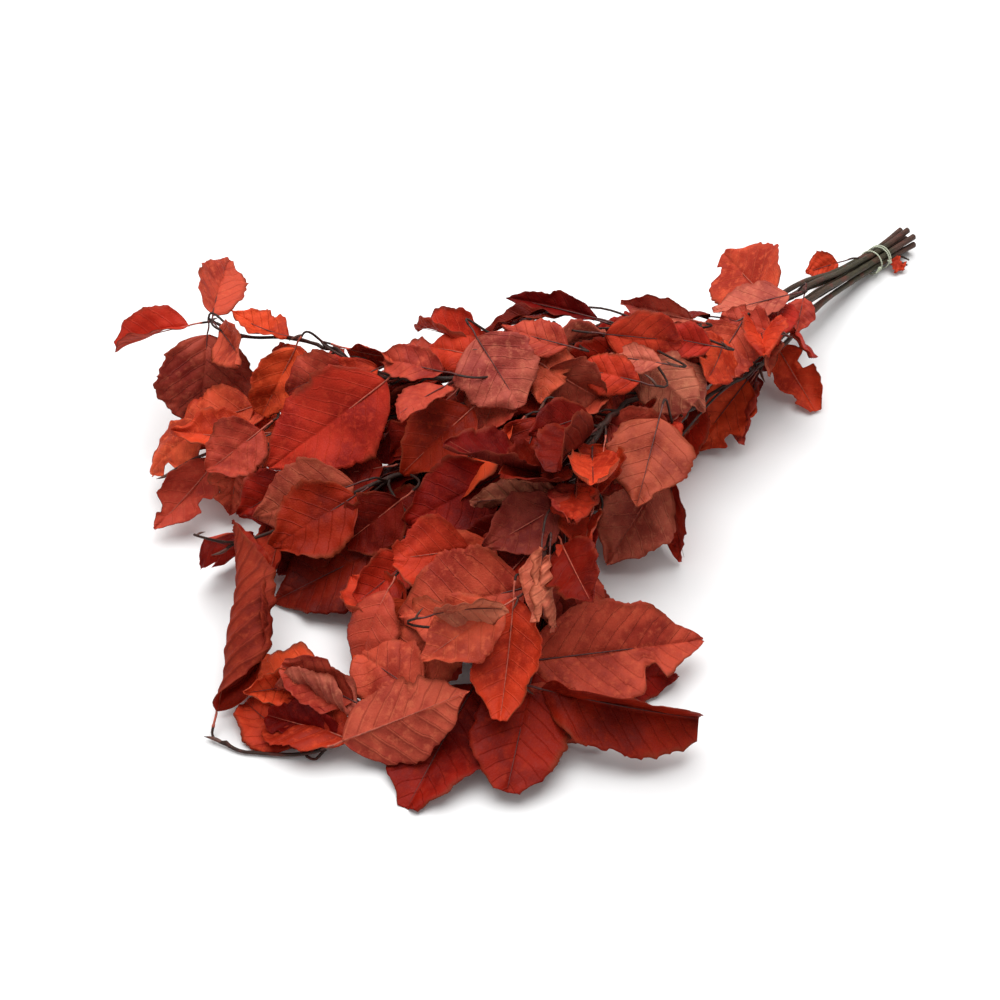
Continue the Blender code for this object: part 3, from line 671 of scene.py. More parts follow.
def blade_places(leaf, u, v, edge=None, relief=0.0, form=None):
    """Places of the blade in the leaf's own directions: u is 0 where the blade starts and 1 at the
    tip, v is -1 to 1 across, edge is the half width and relief lifts the upper side."""
    u, v = np.broadcast_arrays(np.asarray(u, float), np.asarray(v, float))
    form = form or FORMS[leaf.form]
    widest = leaf.length * leaf.width / 2
    plain = plain_half_width(leaf, u)
    reach = np.abs(v) * (plain if edge is None else edge)
    side = np.where(v >= 0, 1.0, -1.0)
    arch = radians(form.arch)
    ahead, drop = arc(0, arch / leaf.length, leaf.length * u)
    fold = radians(form.fold) * np.minimum(FOLD_FADE * plain / widest, 1)
    bend = radians(form.cup) / widest
    sideways, lift = arc(fold, bend, reach)
    steep = fold + bend * reach
    sideways = side * (sideways - relief * np.sin(steep))
    lift = lift + relief * np.cos(steep)
    lift += form.wave * widest * v * v * np.sin(2 * pi * (WAVES_ALONG_EDGE * u + side / 8))
    turn, twist = arch * u, radians(form.twist) * u
    tilted = sideways * np.sin(twist) + lift * np.cos(twist)
    return np.stack(
        [
            ahead + tilted * np.sin(turn),
            sideways * np.cos(twist) - lift * np.sin(twist),
            tilted * np.cos(turn) - drop,
        ],
        axis=-1,
    )


def stand(leaf, places):
    """Places in the leaf's own directions, turned and moved to where the leaf is."""
    return places @ np.array(leaf_axes(leaf)).T + np.array(leaf.base)


def coarse_places(leaf):
    """A few rows of places in the leaf's own directions: the stalk's start, then the blade."""
    v = np.linspace(-1, 1, COARSE_ACROSS + 1)
    u = np.linspace(0, 1, COARSE_ALONG)[:, None]
    stalk = np.stack([np.full_like(v, -STALK_LENGTH), v * STALK_DIAMETER / 2, 0 * v], axis=-1)
    return np.concatenate([stalk[None], blade_places(leaf, u, v[None])])


def stalk_start(leaf):
    return Vector(leaf.base) - leaf_axes(leaf).col[0] * STALK_LENGTH


def grid_faces(rows, columns, first=0):
    """The corners of each face of a grid of places, counted row by row."""
    corners = []
    for row in range(rows - 1):
        for column in range(columns - 1):
            corner = first + row * columns + column
            corners.append((corner, corner + 1, corner + columns + 1, corner + columns))
    return corners


def leaf_envelope(leaf):
    """The leaf moved out to both sides, as a tree to test for touching and as its corners."""
    places = stand(leaf, coarse_places(leaf))
    along, across = np.gradient(places, axis=0), np.gradient(places, axis=1)
    normal = np.cross(along, across)
    normal /= np.linalg.norm(normal, axis=2, keepdims=True)
    rows, columns = places.shape[:2]
    skins = [(places + normal * side * SPACE_AROUND_LEAF).reshape(-1, 3) for side in (1, -1)]
    faces = grid_faces(rows, columns) + grid_faces(rows, columns, rows * columns)
    corners = np.concatenate(skins)
    return BVHTree.FromPolygons(corners.tolist(), faces), corners


def node_tree_of(name):
    """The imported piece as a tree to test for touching."""
    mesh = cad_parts[name].data
    return BVHTree.FromPolygons(
        [vert.co for vert in mesh.vertices], [face.vertices for face in mesh.polygons]
    )


def joined_tree(names):
    """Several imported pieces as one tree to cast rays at."""
    corners, faces = [], []
    for name in names:
        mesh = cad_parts[name].data
        first = len(corners)
        corners += [vert.co for vert in mesh.vertices]
        faces += [[first + index for index in face.vertices] for face in mesh.polygons]
    return BVHTree.FromPolygons(corners, faces)


def turned_leaf(leaf, turn, lift=0.0):
    rise, heading, roll = turn
    return leaf._replace(
        base=(leaf.base[0], leaf.base[1], leaf.base[2] + lift),
        rise=leaf.rise + rise,
        heading=leaf.heading + heading,
        roll=leaf.roll + roll,
    )


def packed_leaf(name, leaf):
    """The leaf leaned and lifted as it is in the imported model."""
    low, high = (np.array(corner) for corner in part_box(name))
    local = coarse_places(leaf)
    best, best_gap = None, LEAF_MATCH
    for turn in TURNS:
        tried = turned_leaf(leaf, turn)
        places = stand(tried, local).reshape(-1, 3)
        lowest, highest = places.min(0), places.max(0)
        missing = (low[2] + high[2] - lowest[2] - highest[2]) / 2
        lift = min(LIFTS, key=lambda step: abs(step - missing))
        rise = np.array((0, 0, lift))
        gap = max(np.abs(lowest + rise - low).max(), np.abs(highest + rise - high).max())
        if gap < best_gap:
            best, best_gap = turned_leaf(leaf, turn, lift), gap
    if best is None:
        raise RuntimeError(f"{name} doesn't match the packed model's leaf")
    return best


def twig_path(leaf, trunk, reach, count=TWIG_POINTS):
    """A side twig that leaves the stem `reach` before the leaf and bends into its stalk."""
    forward = leaf_axes(leaf).col[0]
    end = stalk_start(leaf) - forward * STALK_GAP
    nearest = min(range(len(trunk)), key=lambda index: (trunk[index] - end).length)
    root = max(nearest - round(reach / FINE_SPACING), 1)
    start = trunk[root]
    bend = (end - start).length * TWIG_BEND
    grow = (trunk[root] - trunk[root - 1]).normalized() * bend
    turned = end - forward * TWIG_DIAMETER
    path = [*interpolate_bezier(start, start + grow, turned - forward * bend, turned, count), end]
    for place in path:
        place.z = max(place.z, TWIG_DIAMETER)
    return path


def packed_twig(leaf, trunk, tree):
    """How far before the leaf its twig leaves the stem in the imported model."""

    def stray(reach):
        path = twig_path(leaf, trunk, reach)
        return max(tree.find_nearest(place)[3] for place in path[1:])

    return min(TWIG_REACHES, key=stray)


def twig_is_clear(path, trees):
    radius = TWIG_DIAMETER / 2 + SPACE_AROUND_TWIG
    return all(tree.find_nearest(place)[3] > radius for tree in trees for place in path[1:-1])


# A leaf in its place: its name, the number of its branch, the leaf, its twig's reach along the
# stem, and its kind: it stands for a packed leaf, is a small one or is one that fills the crown
Placed = namedtuple("Placed", "name branch leaf reach kind")
PACKED, SMALL, INNER = "packed", "small", "inner"


class Crown:
    """The leaves placed so far, with what a new one has to lie clear of."""

    def __init__(self):
        self.placed = []
        self.leaf_trees = []
        self.leaf_boxes = []
        self.main_leaves = joined_tree(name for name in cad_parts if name.startswith("leaf_"))
        self.stem_trees = [node_tree_of(f"branch_{index + 1}") for index in range(len(BRANCHES))]
        self.trunks = [
            [place - SHIFT for place in smooth_path(stem_route(branch), FINE_SPACING)]
            for branch in BRANCHES
        ]

    def add(self, name, branch, leaf, reach, kind):
        self.placed.append(Placed(name, branch, leaf, reach, kind))
        tree, corners = leaf_envelope(leaf)
        self.leaf_trees.append(tree)
        self.leaf_boxes.append((corners.min(0), corners.max(0)))

    def add_if_clear(self, name, branch, leaf, kind):
        """Add the leaf if it touches no stem and at most one other leaf, and lies inside the
        bunch's box. One that fills the crown also stays behind the main ones and out of the gap.
        It returns whether the leaf was added."""
        tree, corners = leaf_envelope(leaf)
        low, high = corners.min(0), corners.max(0)
        if (low < ROOM[0]).any() or (high > ROOM[1]).any():
            return False
        if kind == INNER and not (hidden_ground(corners) and self.stays_behind(corners)):
            return False
        near = [
            other
            for other, box in zip(self.leaf_trees, self.leaf_boxes)
            if (low < box[1]).all() and (high > box[0]).all()
        ]
        touched = sum(bool(tree.overlap(other)) for other in near)
        if touched > MOST_TOUCHED or any(tree.overlap(stem) for stem in self.stem_trees):
            return False
        trunk = self.trunks[branch - 1]
        for reach in TWIG_REACHES:
            if twig_is_clear(twig_path(leaf, trunk, reach), self.leaf_trees):
                break
        self.add(name, branch, leaf, reach, kind)
        return True

    def stays_behind(self, corners):
        """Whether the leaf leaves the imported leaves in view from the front."""
        eye = camera_place() - SHIFT
        points = [Vector(corner) for corner in corners[: len(corners) // 2]]
        hits = [self.main_leaves.ray_cast(point, point - eye)[0] for point in points]
        return sum(hit is not None for hit in hits) <= COVER_SHARE * len(points)


def inside(outline, places):
    """Which places lie inside a closed outline on the ground."""
    x, y = places[:, 0], places[:, 1]
    crossings = np.zeros(len(places), int)
    for (x1, y1), (x2, y2) in zip(outline, outline[1:] + outline[:1]):
        spans = (y1 > y) != (y2 > y)
        if y1 != y2:
            crossings += spans & (x < x1 + (x2 - x1) * (y - y1) / (y2 - y1))
    return crossings % 2 == 1


def seen_ground(places):
    """The ground that the places hide from the camera."""
    eye = np.array(camera_place())
    places = np.array(places) + np.array(SHIFT)
    share = eye[2] / (eye[2] - places[:, 2:])
    return (eye + (places - eye) * share)[:, :2]


def hidden_ground(corners):
    """Whether the leaf hides only ground inside the crown's outline and outside its gap."""
    ground = seen_ground(corners)
    return inside(CROWN_OUTLINE, ground).all() and not inside(CROWN_GAP, ground).any()


def camera_place():
    """Where the camera stands, from the layout's own origin."""
    far = CAMERA_HEIGHT / tan(radians(CAMERA_PITCH))
    turn = radians(CAMERA_TURN)
    return Vector((-far * sin(turn), -far * cos(turn), CAMERA_HEIGHT))


def shifted(leaf):
    return leaf._replace(base=tuple(Vector(leaf.base) - SHIFT))


def place_small_leaf(crown, name, branch, leaf):
    """Lean and lift a small leaf as little as it takes to lie clear, or leave it out."""
    leans = sorted(
        product(TURNS[:SMALL_TURNS], LIFTS[:SMALL_LIFTS]),
        key=lambda lean: hypot(*lean[0], lean[1] * LIFT_COST),
    )
    for turn, lift in leans:
        if crown.add_if_clear(name, branch, turned_leaf(leaf, turn, lift), SMALL):
            return


def random_leaf(chance, trunk, fill):
    """A leaf of chance size and lean that grows from a chance place on the stem."""
    place = round((len(trunk) - 2) * chance.uniform(fill.start, fill.end))
    along = (trunk[place + 1] - trunk[place]).normalized()
    aside = along.orthogonal().normalized()
    aside.rotate(Matrix.Rotation(chance.uniform(-pi, pi), 3, along))
    lean = radians(chance.uniform(*fill.spread))
    forward = along * cos(lean) + aside * sin(lean)
    forward.z = min(max(forward.z, FILL_SLOPES[0]), FILL_SLOPES[1])
    forward.normalize()
    start = trunk[place] + aside * 0.003 + forward * chance.uniform(*FILL_TWIGS)
    base = start + forward * STALK_LENGTH
    length = chance.uniform(*FILL_LENGTHS)
    tone = chance.choice(fill.tones)
    # A leaf whose middle lies over the crown's hollow is made dark: painted shade
    in_shaded_hollow = inside(SHADED_CROWN_HOLLOW, seen_ground([base + forward * length / 2])).any()
    return Leaf(
        form=chance.choice(FILL_FORMS),
        base=tuple(base),
        heading=np.degrees(np.arctan2(forward.y, forward.x)),
        rise=np.degrees(np.arcsin(forward.z)),
        roll=chance.gauss(0, FILL_ROLL),
        length=length,
        width=chance.uniform(*FILL_WIDTHS),
        tone="dark" if in_shaded_hollow else tone,
    )


def fill_crown(crown):
    """Grow leaves at chance places on the stems wherever there is room for them."""
    chance = Random("beech crown")
    for fill in FILLS:
        trunk = crown.trunks[fill.branch - 1]
        full = len(crown.placed) + fill.count
        for _ in range(FILL_TRIES):
            leaf = random_leaf(chance, trunk, fill)
            crown.add_if_clear(f"inner_leaf_{len(crown.placed)}", fill.branch, leaf, INNER)
            if len(crown.placed) == full:
                break


@cache
def planned_crown():
    """Where every leaf and twig of the bunch is."""
    crown = Crown()
    for number, branch in enumerate(BRANCHES, 1):
        for count, leaf in enumerate(branch.leaves, 1):
            name = f"leaf_{number}_{count}"
            leaned = packed_leaf(name, shifted(leaf))
            reach = packed_twig(leaned, crown.trunks[number - 1], crown.stem_trees[number - 1])
            crown.add(name, number, leaned, reach, PACKED)
    for number, branch in enumerate(BRANCHES, 1):
        for count, leaf in enumerate(branch.small, 1):
            place_small_leaf(crown, f"small_leaf_{number}_{count}", number, shifted(leaf))
    fill_crown(crown)
    return crown


# ---------------------------------------------------------------- mesh helpers


def add_grid(shape, places, values):
    """Add a grid of faces with its corners at the given rows of places and values kept on them.
    It returns the corners and the faces."""
    rows, columns = places.shape[:2]
    first = len(shape.faces)
    grid = bmesh.ops.create_grid(shape, x_segments=columns - 1, y_segments=rows - 1, size=1)
    made = grid["verts"]
    for vert, place in zip(made, places.reshape(-1, 3)):
        vert.co = place
    for name, each in values.items():
        layer = shape.verts.layers.float[name]
        for vert, value in zip(made, np.broadcast_to(each, (rows, columns)).ravel()):
            vert[layer] = value
    shape.faces.ensure_lookup_table()
    return made, shape.faces[first:]


def start_shape(layer_names):
    shape = bmesh.new()
    for name in layer_names:
        shape.verts.layers.float.new(name)
    return shape


def path_frames(path):
    """Two directions across a path, which turn with it as little as they can."""
    along = np.gradient(path, axis=0)
    along /= np.linalg.norm(along, axis=1, keepdims=True)
    across = Vector(along[0]).orthogonal()
    sides = []
    for direction in along:
        across = across - Vector(direction) * across.dot(Vector(direction))
        across.normalize()
        sides.append(across.copy())
    return np.array(sides), np.cross(along, np.array(sides))


def path_lengths(path):
    return np.concatenate([[0], np.cumsum(np.linalg.norm(np.diff(path, axis=0), axis=1))])


def add_tube(shape, path, radii, sides, swell=None, paint=None, first_run=0.0):
    """A closed round tube along the path. swell gives shares by which its radius grows at a row and
    an angle, and paint gives the material of a row of faces, where row 0 and 1 are the start's cap.
    first_run is the distance that the bark's pattern starts at."""
    path, radii = np.array(path, float), np.array(radii, float)
    across, up = path_frames(path)
    angles = np.linspace(0, 2 * pi, sides + 1)[None]
    rows = np.array([0, 0, *range(len(path)), len(path) - 1])
    widths = np.array([0, radii[0] * PITH_SHARE, *radii, 0])[:, None] * np.ones_like(angles)
    if swell is not None:
        widths[2:-1] *= 1 + swell(np.arange(len(path))[:, None], angles)
    circles = np.cos(angles)[..., None] * across[rows][:, None]
    circles = circles + np.sin(angles)[..., None] * up[rows][:, None]
    places = path[rows][:, None] + widths[..., None] * circles
    values = {}
    if "run" in shape.verts.layers.float:
        values["around_x"] = widths * np.cos(angles)
        values["around_y"] = widths * np.sin(angles)
        values["run"] = first_run + path_lengths(path)[rows][:, None]
    made, faces = add_grid(shape, places, values)
    for index, face in enumerate(faces):
        face.material_index = paint(index // sides) if paint else 0
    bmesh.ops.remove_doubles(shape, verts=made, dist=MERGE_DISTANCE)
    return places


def linked(name, data):
    """A new object in the scene, of a mesh, a lamp or a camera."""
    made = bpy.data.objects.new(name, data)
    bpy.context.scene.collection.objects.link(made)
    return made


def mesh_of(name, shape, materials):
    """Turn a finished shape into a mesh with its materials."""
    mesh = bpy.data.meshes.new(name)
    shape.to_mesh(mesh)
    shape.free()
    for each in materials:
        mesh.materials.append(each)
    return mesh


def finish_piece(name, shape, materials, replaced=()):
    """Turn a finished shape into a piece that rides on the bunch."""
    piece = linked(name, mesh_of(name, shape, materials))
    piece.data.shade_smooth()
    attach(piece, "root")
    if replaced:
        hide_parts(*replaced)
    return piece


# ---------------------------------------------------------------- leaves


def marks_of(name):
    """The leaf's own marks, or for a plain leaf a chance bite or torn tip."""
    if name in MARKS:
        return MARKS[name]
    chance = Random(name + " marks")
    notches = ()
    if chance.random() < BITE_CHANCE:
        side, depth = chance.choice((1, -1)), chance.uniform(0.2, 0.5)
        notches = ((side, chance.uniform(0.35, 0.85), chance.uniform(0.05, 0.12), depth),)
    cut = chance.uniform(0.88, 0.97) if chance.random() < BITE_CHANCE else 1.0
    rib = "dark" if chance.random() < DARK_RIB_CHANCE else "pale"
    return WHOLE._replace(notches=notches, cut=cut, rib=rib)


def notch_profile(marks, side, u):
    """How much of the half width bites and tears leave on one side of the blade."""
    kept = np.ones_like(u)
    for at_side, place, half_length, depth in marks.notches:
        if at_side == side:
            edge = np.clip(1 - np.abs((u - place) / half_length), 0, 1)
            kept = kept - depth * ease(edge * 1.6)
    return kept


def toothed_half_width(leaf, marks, phase, u, side, chance):
    """The blade's half width with its teeth, which stand where the side veins end."""
    edge = plain_half_width(leaf, u) * marks.wide
    rise = (phase - chance.uniform(0, 0.3)) % 1
    depth = TOOTH_DEPTH * chance.uniform(0.6, 1.5) * np.clip(u * 5, 0, 1)
    wander = np.zeros_like(u)
    for waves, amount in OUTLINE_WAVES:
        wander += amount * np.sin(2 * pi * (waves * u + chance.random()))
    edge = edge * (1 - depth * (1 - rise**1.8)) * (1 + wander * np.clip(8 * (1 - u), 0, 1))
    drawn_tip = np.clip((u - 1 + marks.point) / marks.point, 0, 1)
    edge = edge * (1 - 0.25 * np.sin(pi * drawn_tip) * (u < 1)) * notch_profile(marks, side, u)
    return np.maximum(edge, EDGE_LEAST)


def hole_warp(marks, u, v):
    """Push the grid's lines outwards round each hole. It returns where the blade is cut away."""
    cut = np.zeros(u.shape, bool)
    for along, across, radius in marks.holes:
        ahead, aside = u - along, (v - across) * HOLE_ASPECT
        far = np.hypot(ahead, aside)
        inside = far < radius * 0.5
        spread = np.where(far < 2 * radius, (radius + far / 2) / np.maximum(far, 1e-6), 1)
        grown = inside.copy()
        for axis, step in product((0, 1), (1, -1)):
            grown |= np.roll(inside, step, axis)
        rim = grown & ~inside
        scale = np.where(rim, radius / np.maximum(far, 1e-6), spread)
        u = np.where(inside, u, along + ahead * scale)
        v = np.where(inside, v, across + aside * scale / HOLE_ASPECT)
        cut |= inside
    return u, v, cut


def blade_relief(leaf, chance, phase, u, v, reach):
    """How far the blade's upper side stands out: pleats between veins, bulges, and a wavy edge."""
    form_pleat = PLEATS.get(leaf.form, PLEAT)
    share = np.abs(v)
    fade = np.clip(share * 6, 0, 1) * (1 - 0.5 * share**4)
    height = form_pleat * fade * (np.abs(np.sin(pi * phase)) ** 0.7 - 0.5)
    height = height - MIDRIB_GROOVE * np.exp(-((reach / 0.0012) ** 2))
    for size, amount in BULGES:
        turn, shift = chance.uniform(0, pi), chance.uniform(0, 2 * pi)
        wave = 2 * pi * size * (u * cos(turn) + v * leaf.width / 2 * sin(turn))
        height = height + amount * np.sin(wave + shift) * np.clip(u * 4, 0, 1)
    side_shift = np.where(v > 0, chance.uniform(0, 1), chance.uniform(0, 1))
    ripple = chance.uniform(3.2, 5.5)
    height = height + EDGE_WAVE * share**3 * np.sin(2 * pi * (ripple * u + side_shift))
    height = height + chance.gauss(0, 1) * EDGE_CURL * share**5
    return height + chance.gauss(0, 1) * TIP_CURL * np.clip(u * 2 - 1, 0, 1) ** 2


def blade_grid(name, leaf, marks, detail):
    """Places and values of the toothed and veined blade, from its stalk to its tip."""
    chance = Random(name)
    columns, rows = BLADE_GRIDS[detail]
    c = np.linspace(-1, 1, columns + 1)[None]
    u = np.linspace(0, marks.cut, rows + 1)[:, None]
    u, v = np.broadcast_arrays(u, np.sign(c) * np.abs(c) ** 1.25)
    u, v, cut = hole_warp(marks, u, v)
    veins = min(max(leaf.length / VEIN_SPACING, VEIN_COUNTS[0]), VEIN_COUNTS[1])
    stagger = np.where(v > 0, VEIN_STAGGER, 0.0)
    plain = plain_half_width(leaf, u)
    sweep = VEIN_SWEEP * (0.8 + 0.2 * np.abs(v)) * np.abs(v) * plain / leaf.length
    phase = veins * (u - sweep) + stagger
    edge_phase = veins * (u - VEIN_SWEEP * plain / leaf.length) + stagger
    left = toothed_half_width(leaf, marks, edge_phase, u, 1, chance)
    right = toothed_half_width(leaf, marks, edge_phase, u, -1, chance)
    edge = np.where(v > 0, left, right)
    reach = np.abs(v) * edge
    relief = blade_relief(leaf, chance, phase, u, v, reach)
    places = stand(leaf, blade_places(leaf, u, v, edge, relief, marks.form))
    places[..., 2] = np.maximum(places[..., 2], FLOOR_GAP)
    values = {
        "vein_phase": phase,
        "across_share": np.abs(v),
        "leaf_tint": chance.uniform(-1, 1),
        "pale_veins": float(marks.rib == "pale"),
    }
    return places, values, cut


def underside_places(places):
    """Places of the blade's underside, straight below those of its upper side."""
    along, across = np.gradient(places, axis=0), np.gradient(places, axis=1)
    normal = np.cross(along, across)
    normal /= np.maximum(np.linalg.norm(normal, axis=2, keepdims=True), 1e-12)
    return places - normal * settings().leaves.thickness


def add_blade(shape, name, leaf, marks, detail):
    """The blade with its two sides. It is thickened, then its underside is set just below it."""
    places, values, cut = blade_grid(name, leaf, marks, detail)
    # solidify copies each corner's number to the one below it
    values["corner"] = np.arange(cut.size).reshape(cut.shape)
    made, faces = add_grid(shape, places, values)
    gone = [vert for vert, away in zip(made, cut.ravel()) if away]
    bmesh.ops.delete(shape, geom=gone, context="VERTS")
    faces = [face for face in faces if face.is_valid]
    skins = bmesh.ops.solidify(shape, geom=faces, thickness=settings().leaves.thickness)["geom"]
    undersides = [part for part in skins if isinstance(part, bmesh.types.BMFace)]
    below = underside_places(places).reshape(-1, 3)
    corner = shape.verts.layers.float["corner"]
    for face in undersides:
        face.material_index = 1
    for vert in {vert for face in undersides for vert in face.verts}:
        vert.co = below[round(vert[corner])]


def add_rib(shape, leaf, marks, chance):
    """The stalk and midrib, which taper from the twig to the leaf's tip."""
    u = np.linspace(0.0, min(marks.cut, 1.0) * RIB_END, RIB_ROWS)
    blade = blade_places(leaf, u, 0 * u, relief=-MIDRIB_GROOVE * 0.7, form=marks.form)
    # from just inside the twig to just before the blade
    stalk_steps = np.linspace(-STALK_LENGTH - STALK_GAP - 0.0006, -0.0012, STALK_ROWS)
    sag = chance.uniform(-0.0006, 0.0006) * np.sin(np.linspace(0, pi, STALK_ROWS))
    stalk = np.stack([stalk_steps, sag, 0 * sag], axis=-1)
    path = stand(leaf, np.concatenate([stalk, blade]))
    path[:, 2] = np.maximum(path[:, 2], FLOOR_GAP)
    share = leaf.length / 0.1
    base = RIB_RADIUS * (0.75 + 0.4 * share)
    stalk_radii = np.full(STALK_ROWS, base * 1.15)
    radii = np.concatenate([stalk_radii, np.linspace(base, base * 0.18, RIB_ROWS)])
    radii[:2] *= RIB_FOOT
    first = len(shape.faces)
    add_tube(shape, path, radii, 6)
    shape.faces.ensure_lookup_table()
    for face in shape.faces[first:]:
        face.material_index = 2


def make_leaves(piece_name, tone, leaves, replaced=()):
    """One piece of one or more leaves of a colour, given as their names and shapes."""
    shape = start_shape(LEAF_LAYERS)
    for name, leaf in leaves:
        marks = marks_of(name)
        detail = "fill" if len(leaves) > 1 else "large" if leaf.length >= LARGE_LEAF else "plain"
        add_blade(shape, name, leaf, marks, detail)
        add_rib(shape, leaf, marks, Random(name + " rib"))
    first = marks_of(leaves[0][0])
    shown = first.tone or tone
    looks = [leaf_material(shown, False), leaf_material(shown, True), rib_material(first.rib)]
    return finish_piece(piece_name, shape, looks, replaced)


# ---------------------------------------------------------------- branches


def bark_swell(chance, count, nodes):
    """Ridges along the bark, and a ring of swelling where each twig grows."""
    shift = chance.uniform(0, 2 * pi)
    rings = np.zeros(count)
    for index in nodes:
        rings += NODE_SWELL * np.exp(-(((np.arange(count) - index) / NODE_ROWS) ** 2))

    def swell(rows, angles):
        ridges = 0.05 * np.sin(3 * angles + shift + rows * 0.11)
        ridges = ridges + 0.03 * np.sin(5 * angles - rows * 0.23)
        return ridges + 0.03 * np.sin(rows * 0.9 + shift) + rings[rows]

    return swell


def zigzag(path, nodes, radius):
    """Bend a stem a little from side to side between its nodes, as a beech shoot grows."""
    places = np.array(path, float)
    across, _ = path_frames(places)
    last = len(path) - 1
    stops = sorted({0, *nodes, last})
    for number, (start, end) in enumerate(zip(stops, stops[1:])):
        share = np.linspace(0, 1, end - start + 1)
        push = np.sin(pi * share) * radius * (0.5 if number % 2 else -0.5)
        places[start : end + 1] += push[:, None] * across[start : end + 1]
    return places


def add_bud(shape, place, direction, length, chance):
    """A slender pointed bud with overlapping scales."""
    direction = Vector(direction).normalized()
    side = direction.orthogonal().normalized()
    steps = np.linspace(0, 1, 14)
    bow = side * length * 0.06
    path = [Vector(place) + direction * (length * t) + bow * sin(pi * t) for t in steps]
    radii = BUD_RADIUS * np.sin(pi * np.clip(steps * 0.93 + 0.07, 0, 1) ** 0.7) ** 0.8
    radii = np.maximum(radii * (length / 0.010), 0.00012)
    turn = chance.uniform(0, pi)

    def scales(rows, angles):
        return 0.10 * ((rows / 2.2 + np.cos(angles * 2 + turn) * 0.5) % 1)

    add_tube(shape, path, radii, 7, scales, lambda row: BUD_SKIN, TWIG_RUN)


def branch_twigs(crown, number):
    return [placed for placed in crown.placed if placed.branch == number]


def make_branch(number):
    """One stem with its side twigs, buds and cut end."""
    crown = planned_crown()
    chance = Random(f"branch {number}")
    trunk = crown.trunks[number - 1]
    shape = start_shape(BARK_LAYERS)
    nodes = []
    for placed in branch_twigs(crown, number):
        path = twig_path(placed.leaf, trunk, placed.reach, FINE_TWIG_POINTS)
        nodes.append(min(range(len(trunk)), key=lambda index: (trunk[index] - path[0]).length))
        radii = np.linspace(*TWIG_TAPER, len(path)) * TWIG_DIAMETER / 2
        radii[0] *= TWIG_FOOT
        swell = bark_swell(chance, len(path), [len(path) - 2])
        add_tube(shape, path, radii, 8, swell, lambda row: BARK_SKIN, TWIG_RUN)
        if chance.random() < BUD_CHANCE:
            forward = (path[-1] - path[-3]).normalized()
            aside = forward.orthogonal()
            aside.rotate(Matrix.Rotation(chance.uniform(-pi, pi), 3, forward))
            length = chance.uniform(*SIDE_BUD_LENGTHS)
            add_bud(shape, path[-2], forward + aside * BUD_LEAN, length, chance)
    radii = np.linspace(STEM_DIAMETER / 2, STEM_TIP_DIAMETER / 2, len(trunk))
    clear_of_tie = [node for node in nodes if node > TIED_STRETCH]
    add_tube(
        shape,
        zigzag(trunk, clear_of_tie, STEM_DIAMETER / 2),
        radii,
        12,
        swell=bark_swell(chance, len(trunk), clear_of_tie),
        paint=lambda row: CUT_SKIN if row < 2 else BARK_SKIN,
    )
    forward = trunk[-1] - trunk[-2]
    add_bud(shape, trunk[-1] - forward * 0.5, forward, chance.uniform(*END_BUD_LENGTHS), chance)
    looks = [bark_material(), bud_material(), cut_material()]
    return finish_piece(f"stem_{number}", shape, looks, (f"branch_{number}",))


# ---------------------------------------------------------------- tie and scrap


def add_cord(shape, path, radius, pitch):
    """Two strands twisted round each other along the path."""
    path = np.array(path, float)
    across, up = path_frames(path)
    run = path_lengths(path)
    for strand in (0, pi):
        angle = (2 * pi * run / pitch + strand)[:, None]
        places = path + (np.cos(angle) * across + np.sin(angle) * up) * radius * 0.5
        add_tube(shape, places, np.full(len(places), radius * 0.56), 7)


def knot_points(start, along, out, side, size):
    """A small overhand knot that starts at a place and lies flat on the stems."""
    return [
        start + along * (size * x) + side * (size * y) + out * (size * z)
        for x, y, z in (
            (0, 0, 0), (0.8, 0.8, 0.5), (1.6, 0.2, 0.9), (1.2, -0.9, 0.5), (0.2, -0.7, 0.1),
            (0.3, 0.6, 0.9), (1.3, 0.9, 0.3), (2.0, 0.0, 0.2), (2.8, -1.2, 0.4), (3.9, -2.0, 0.2),
        )
    ]


def make_tie():
    """The cord wound round the stems, with a knot and a short tail at each end."""
    steps = round(TIE_TURNS * TIE_STEPS_PER_TURN)
    path = [tie_place(TIE_TURNS * step / steps) - SHIFT for step in range(steps + 1)]
    shape = start_shape(BARK_LAYERS)
    looks = settings().tie
    near, along, _, _ = tie_axes()
    for end, inner in ((path[0], path[1]), (path[-1], path[-2])):
        away = (end - inner).normalized()
        out = end - (near - SHIFT)
        out = (out - along * out.dot(along)).normalized()
        points = knot_points(end, along, out, away, looks.knot_size)
        tail = smooth_path(points, TIE_SPACING)
        if end is path[0]:
            path = [*reversed(tail[1:]), *path]
        else:
            path = [*path, *tail[1:]]
    add_cord(shape, path, TIE_CORD_DIAMETER / 2, looks.twist_pitch)
    return finish_piece("wound_tie", shape, [cord_material()], ("tie",))


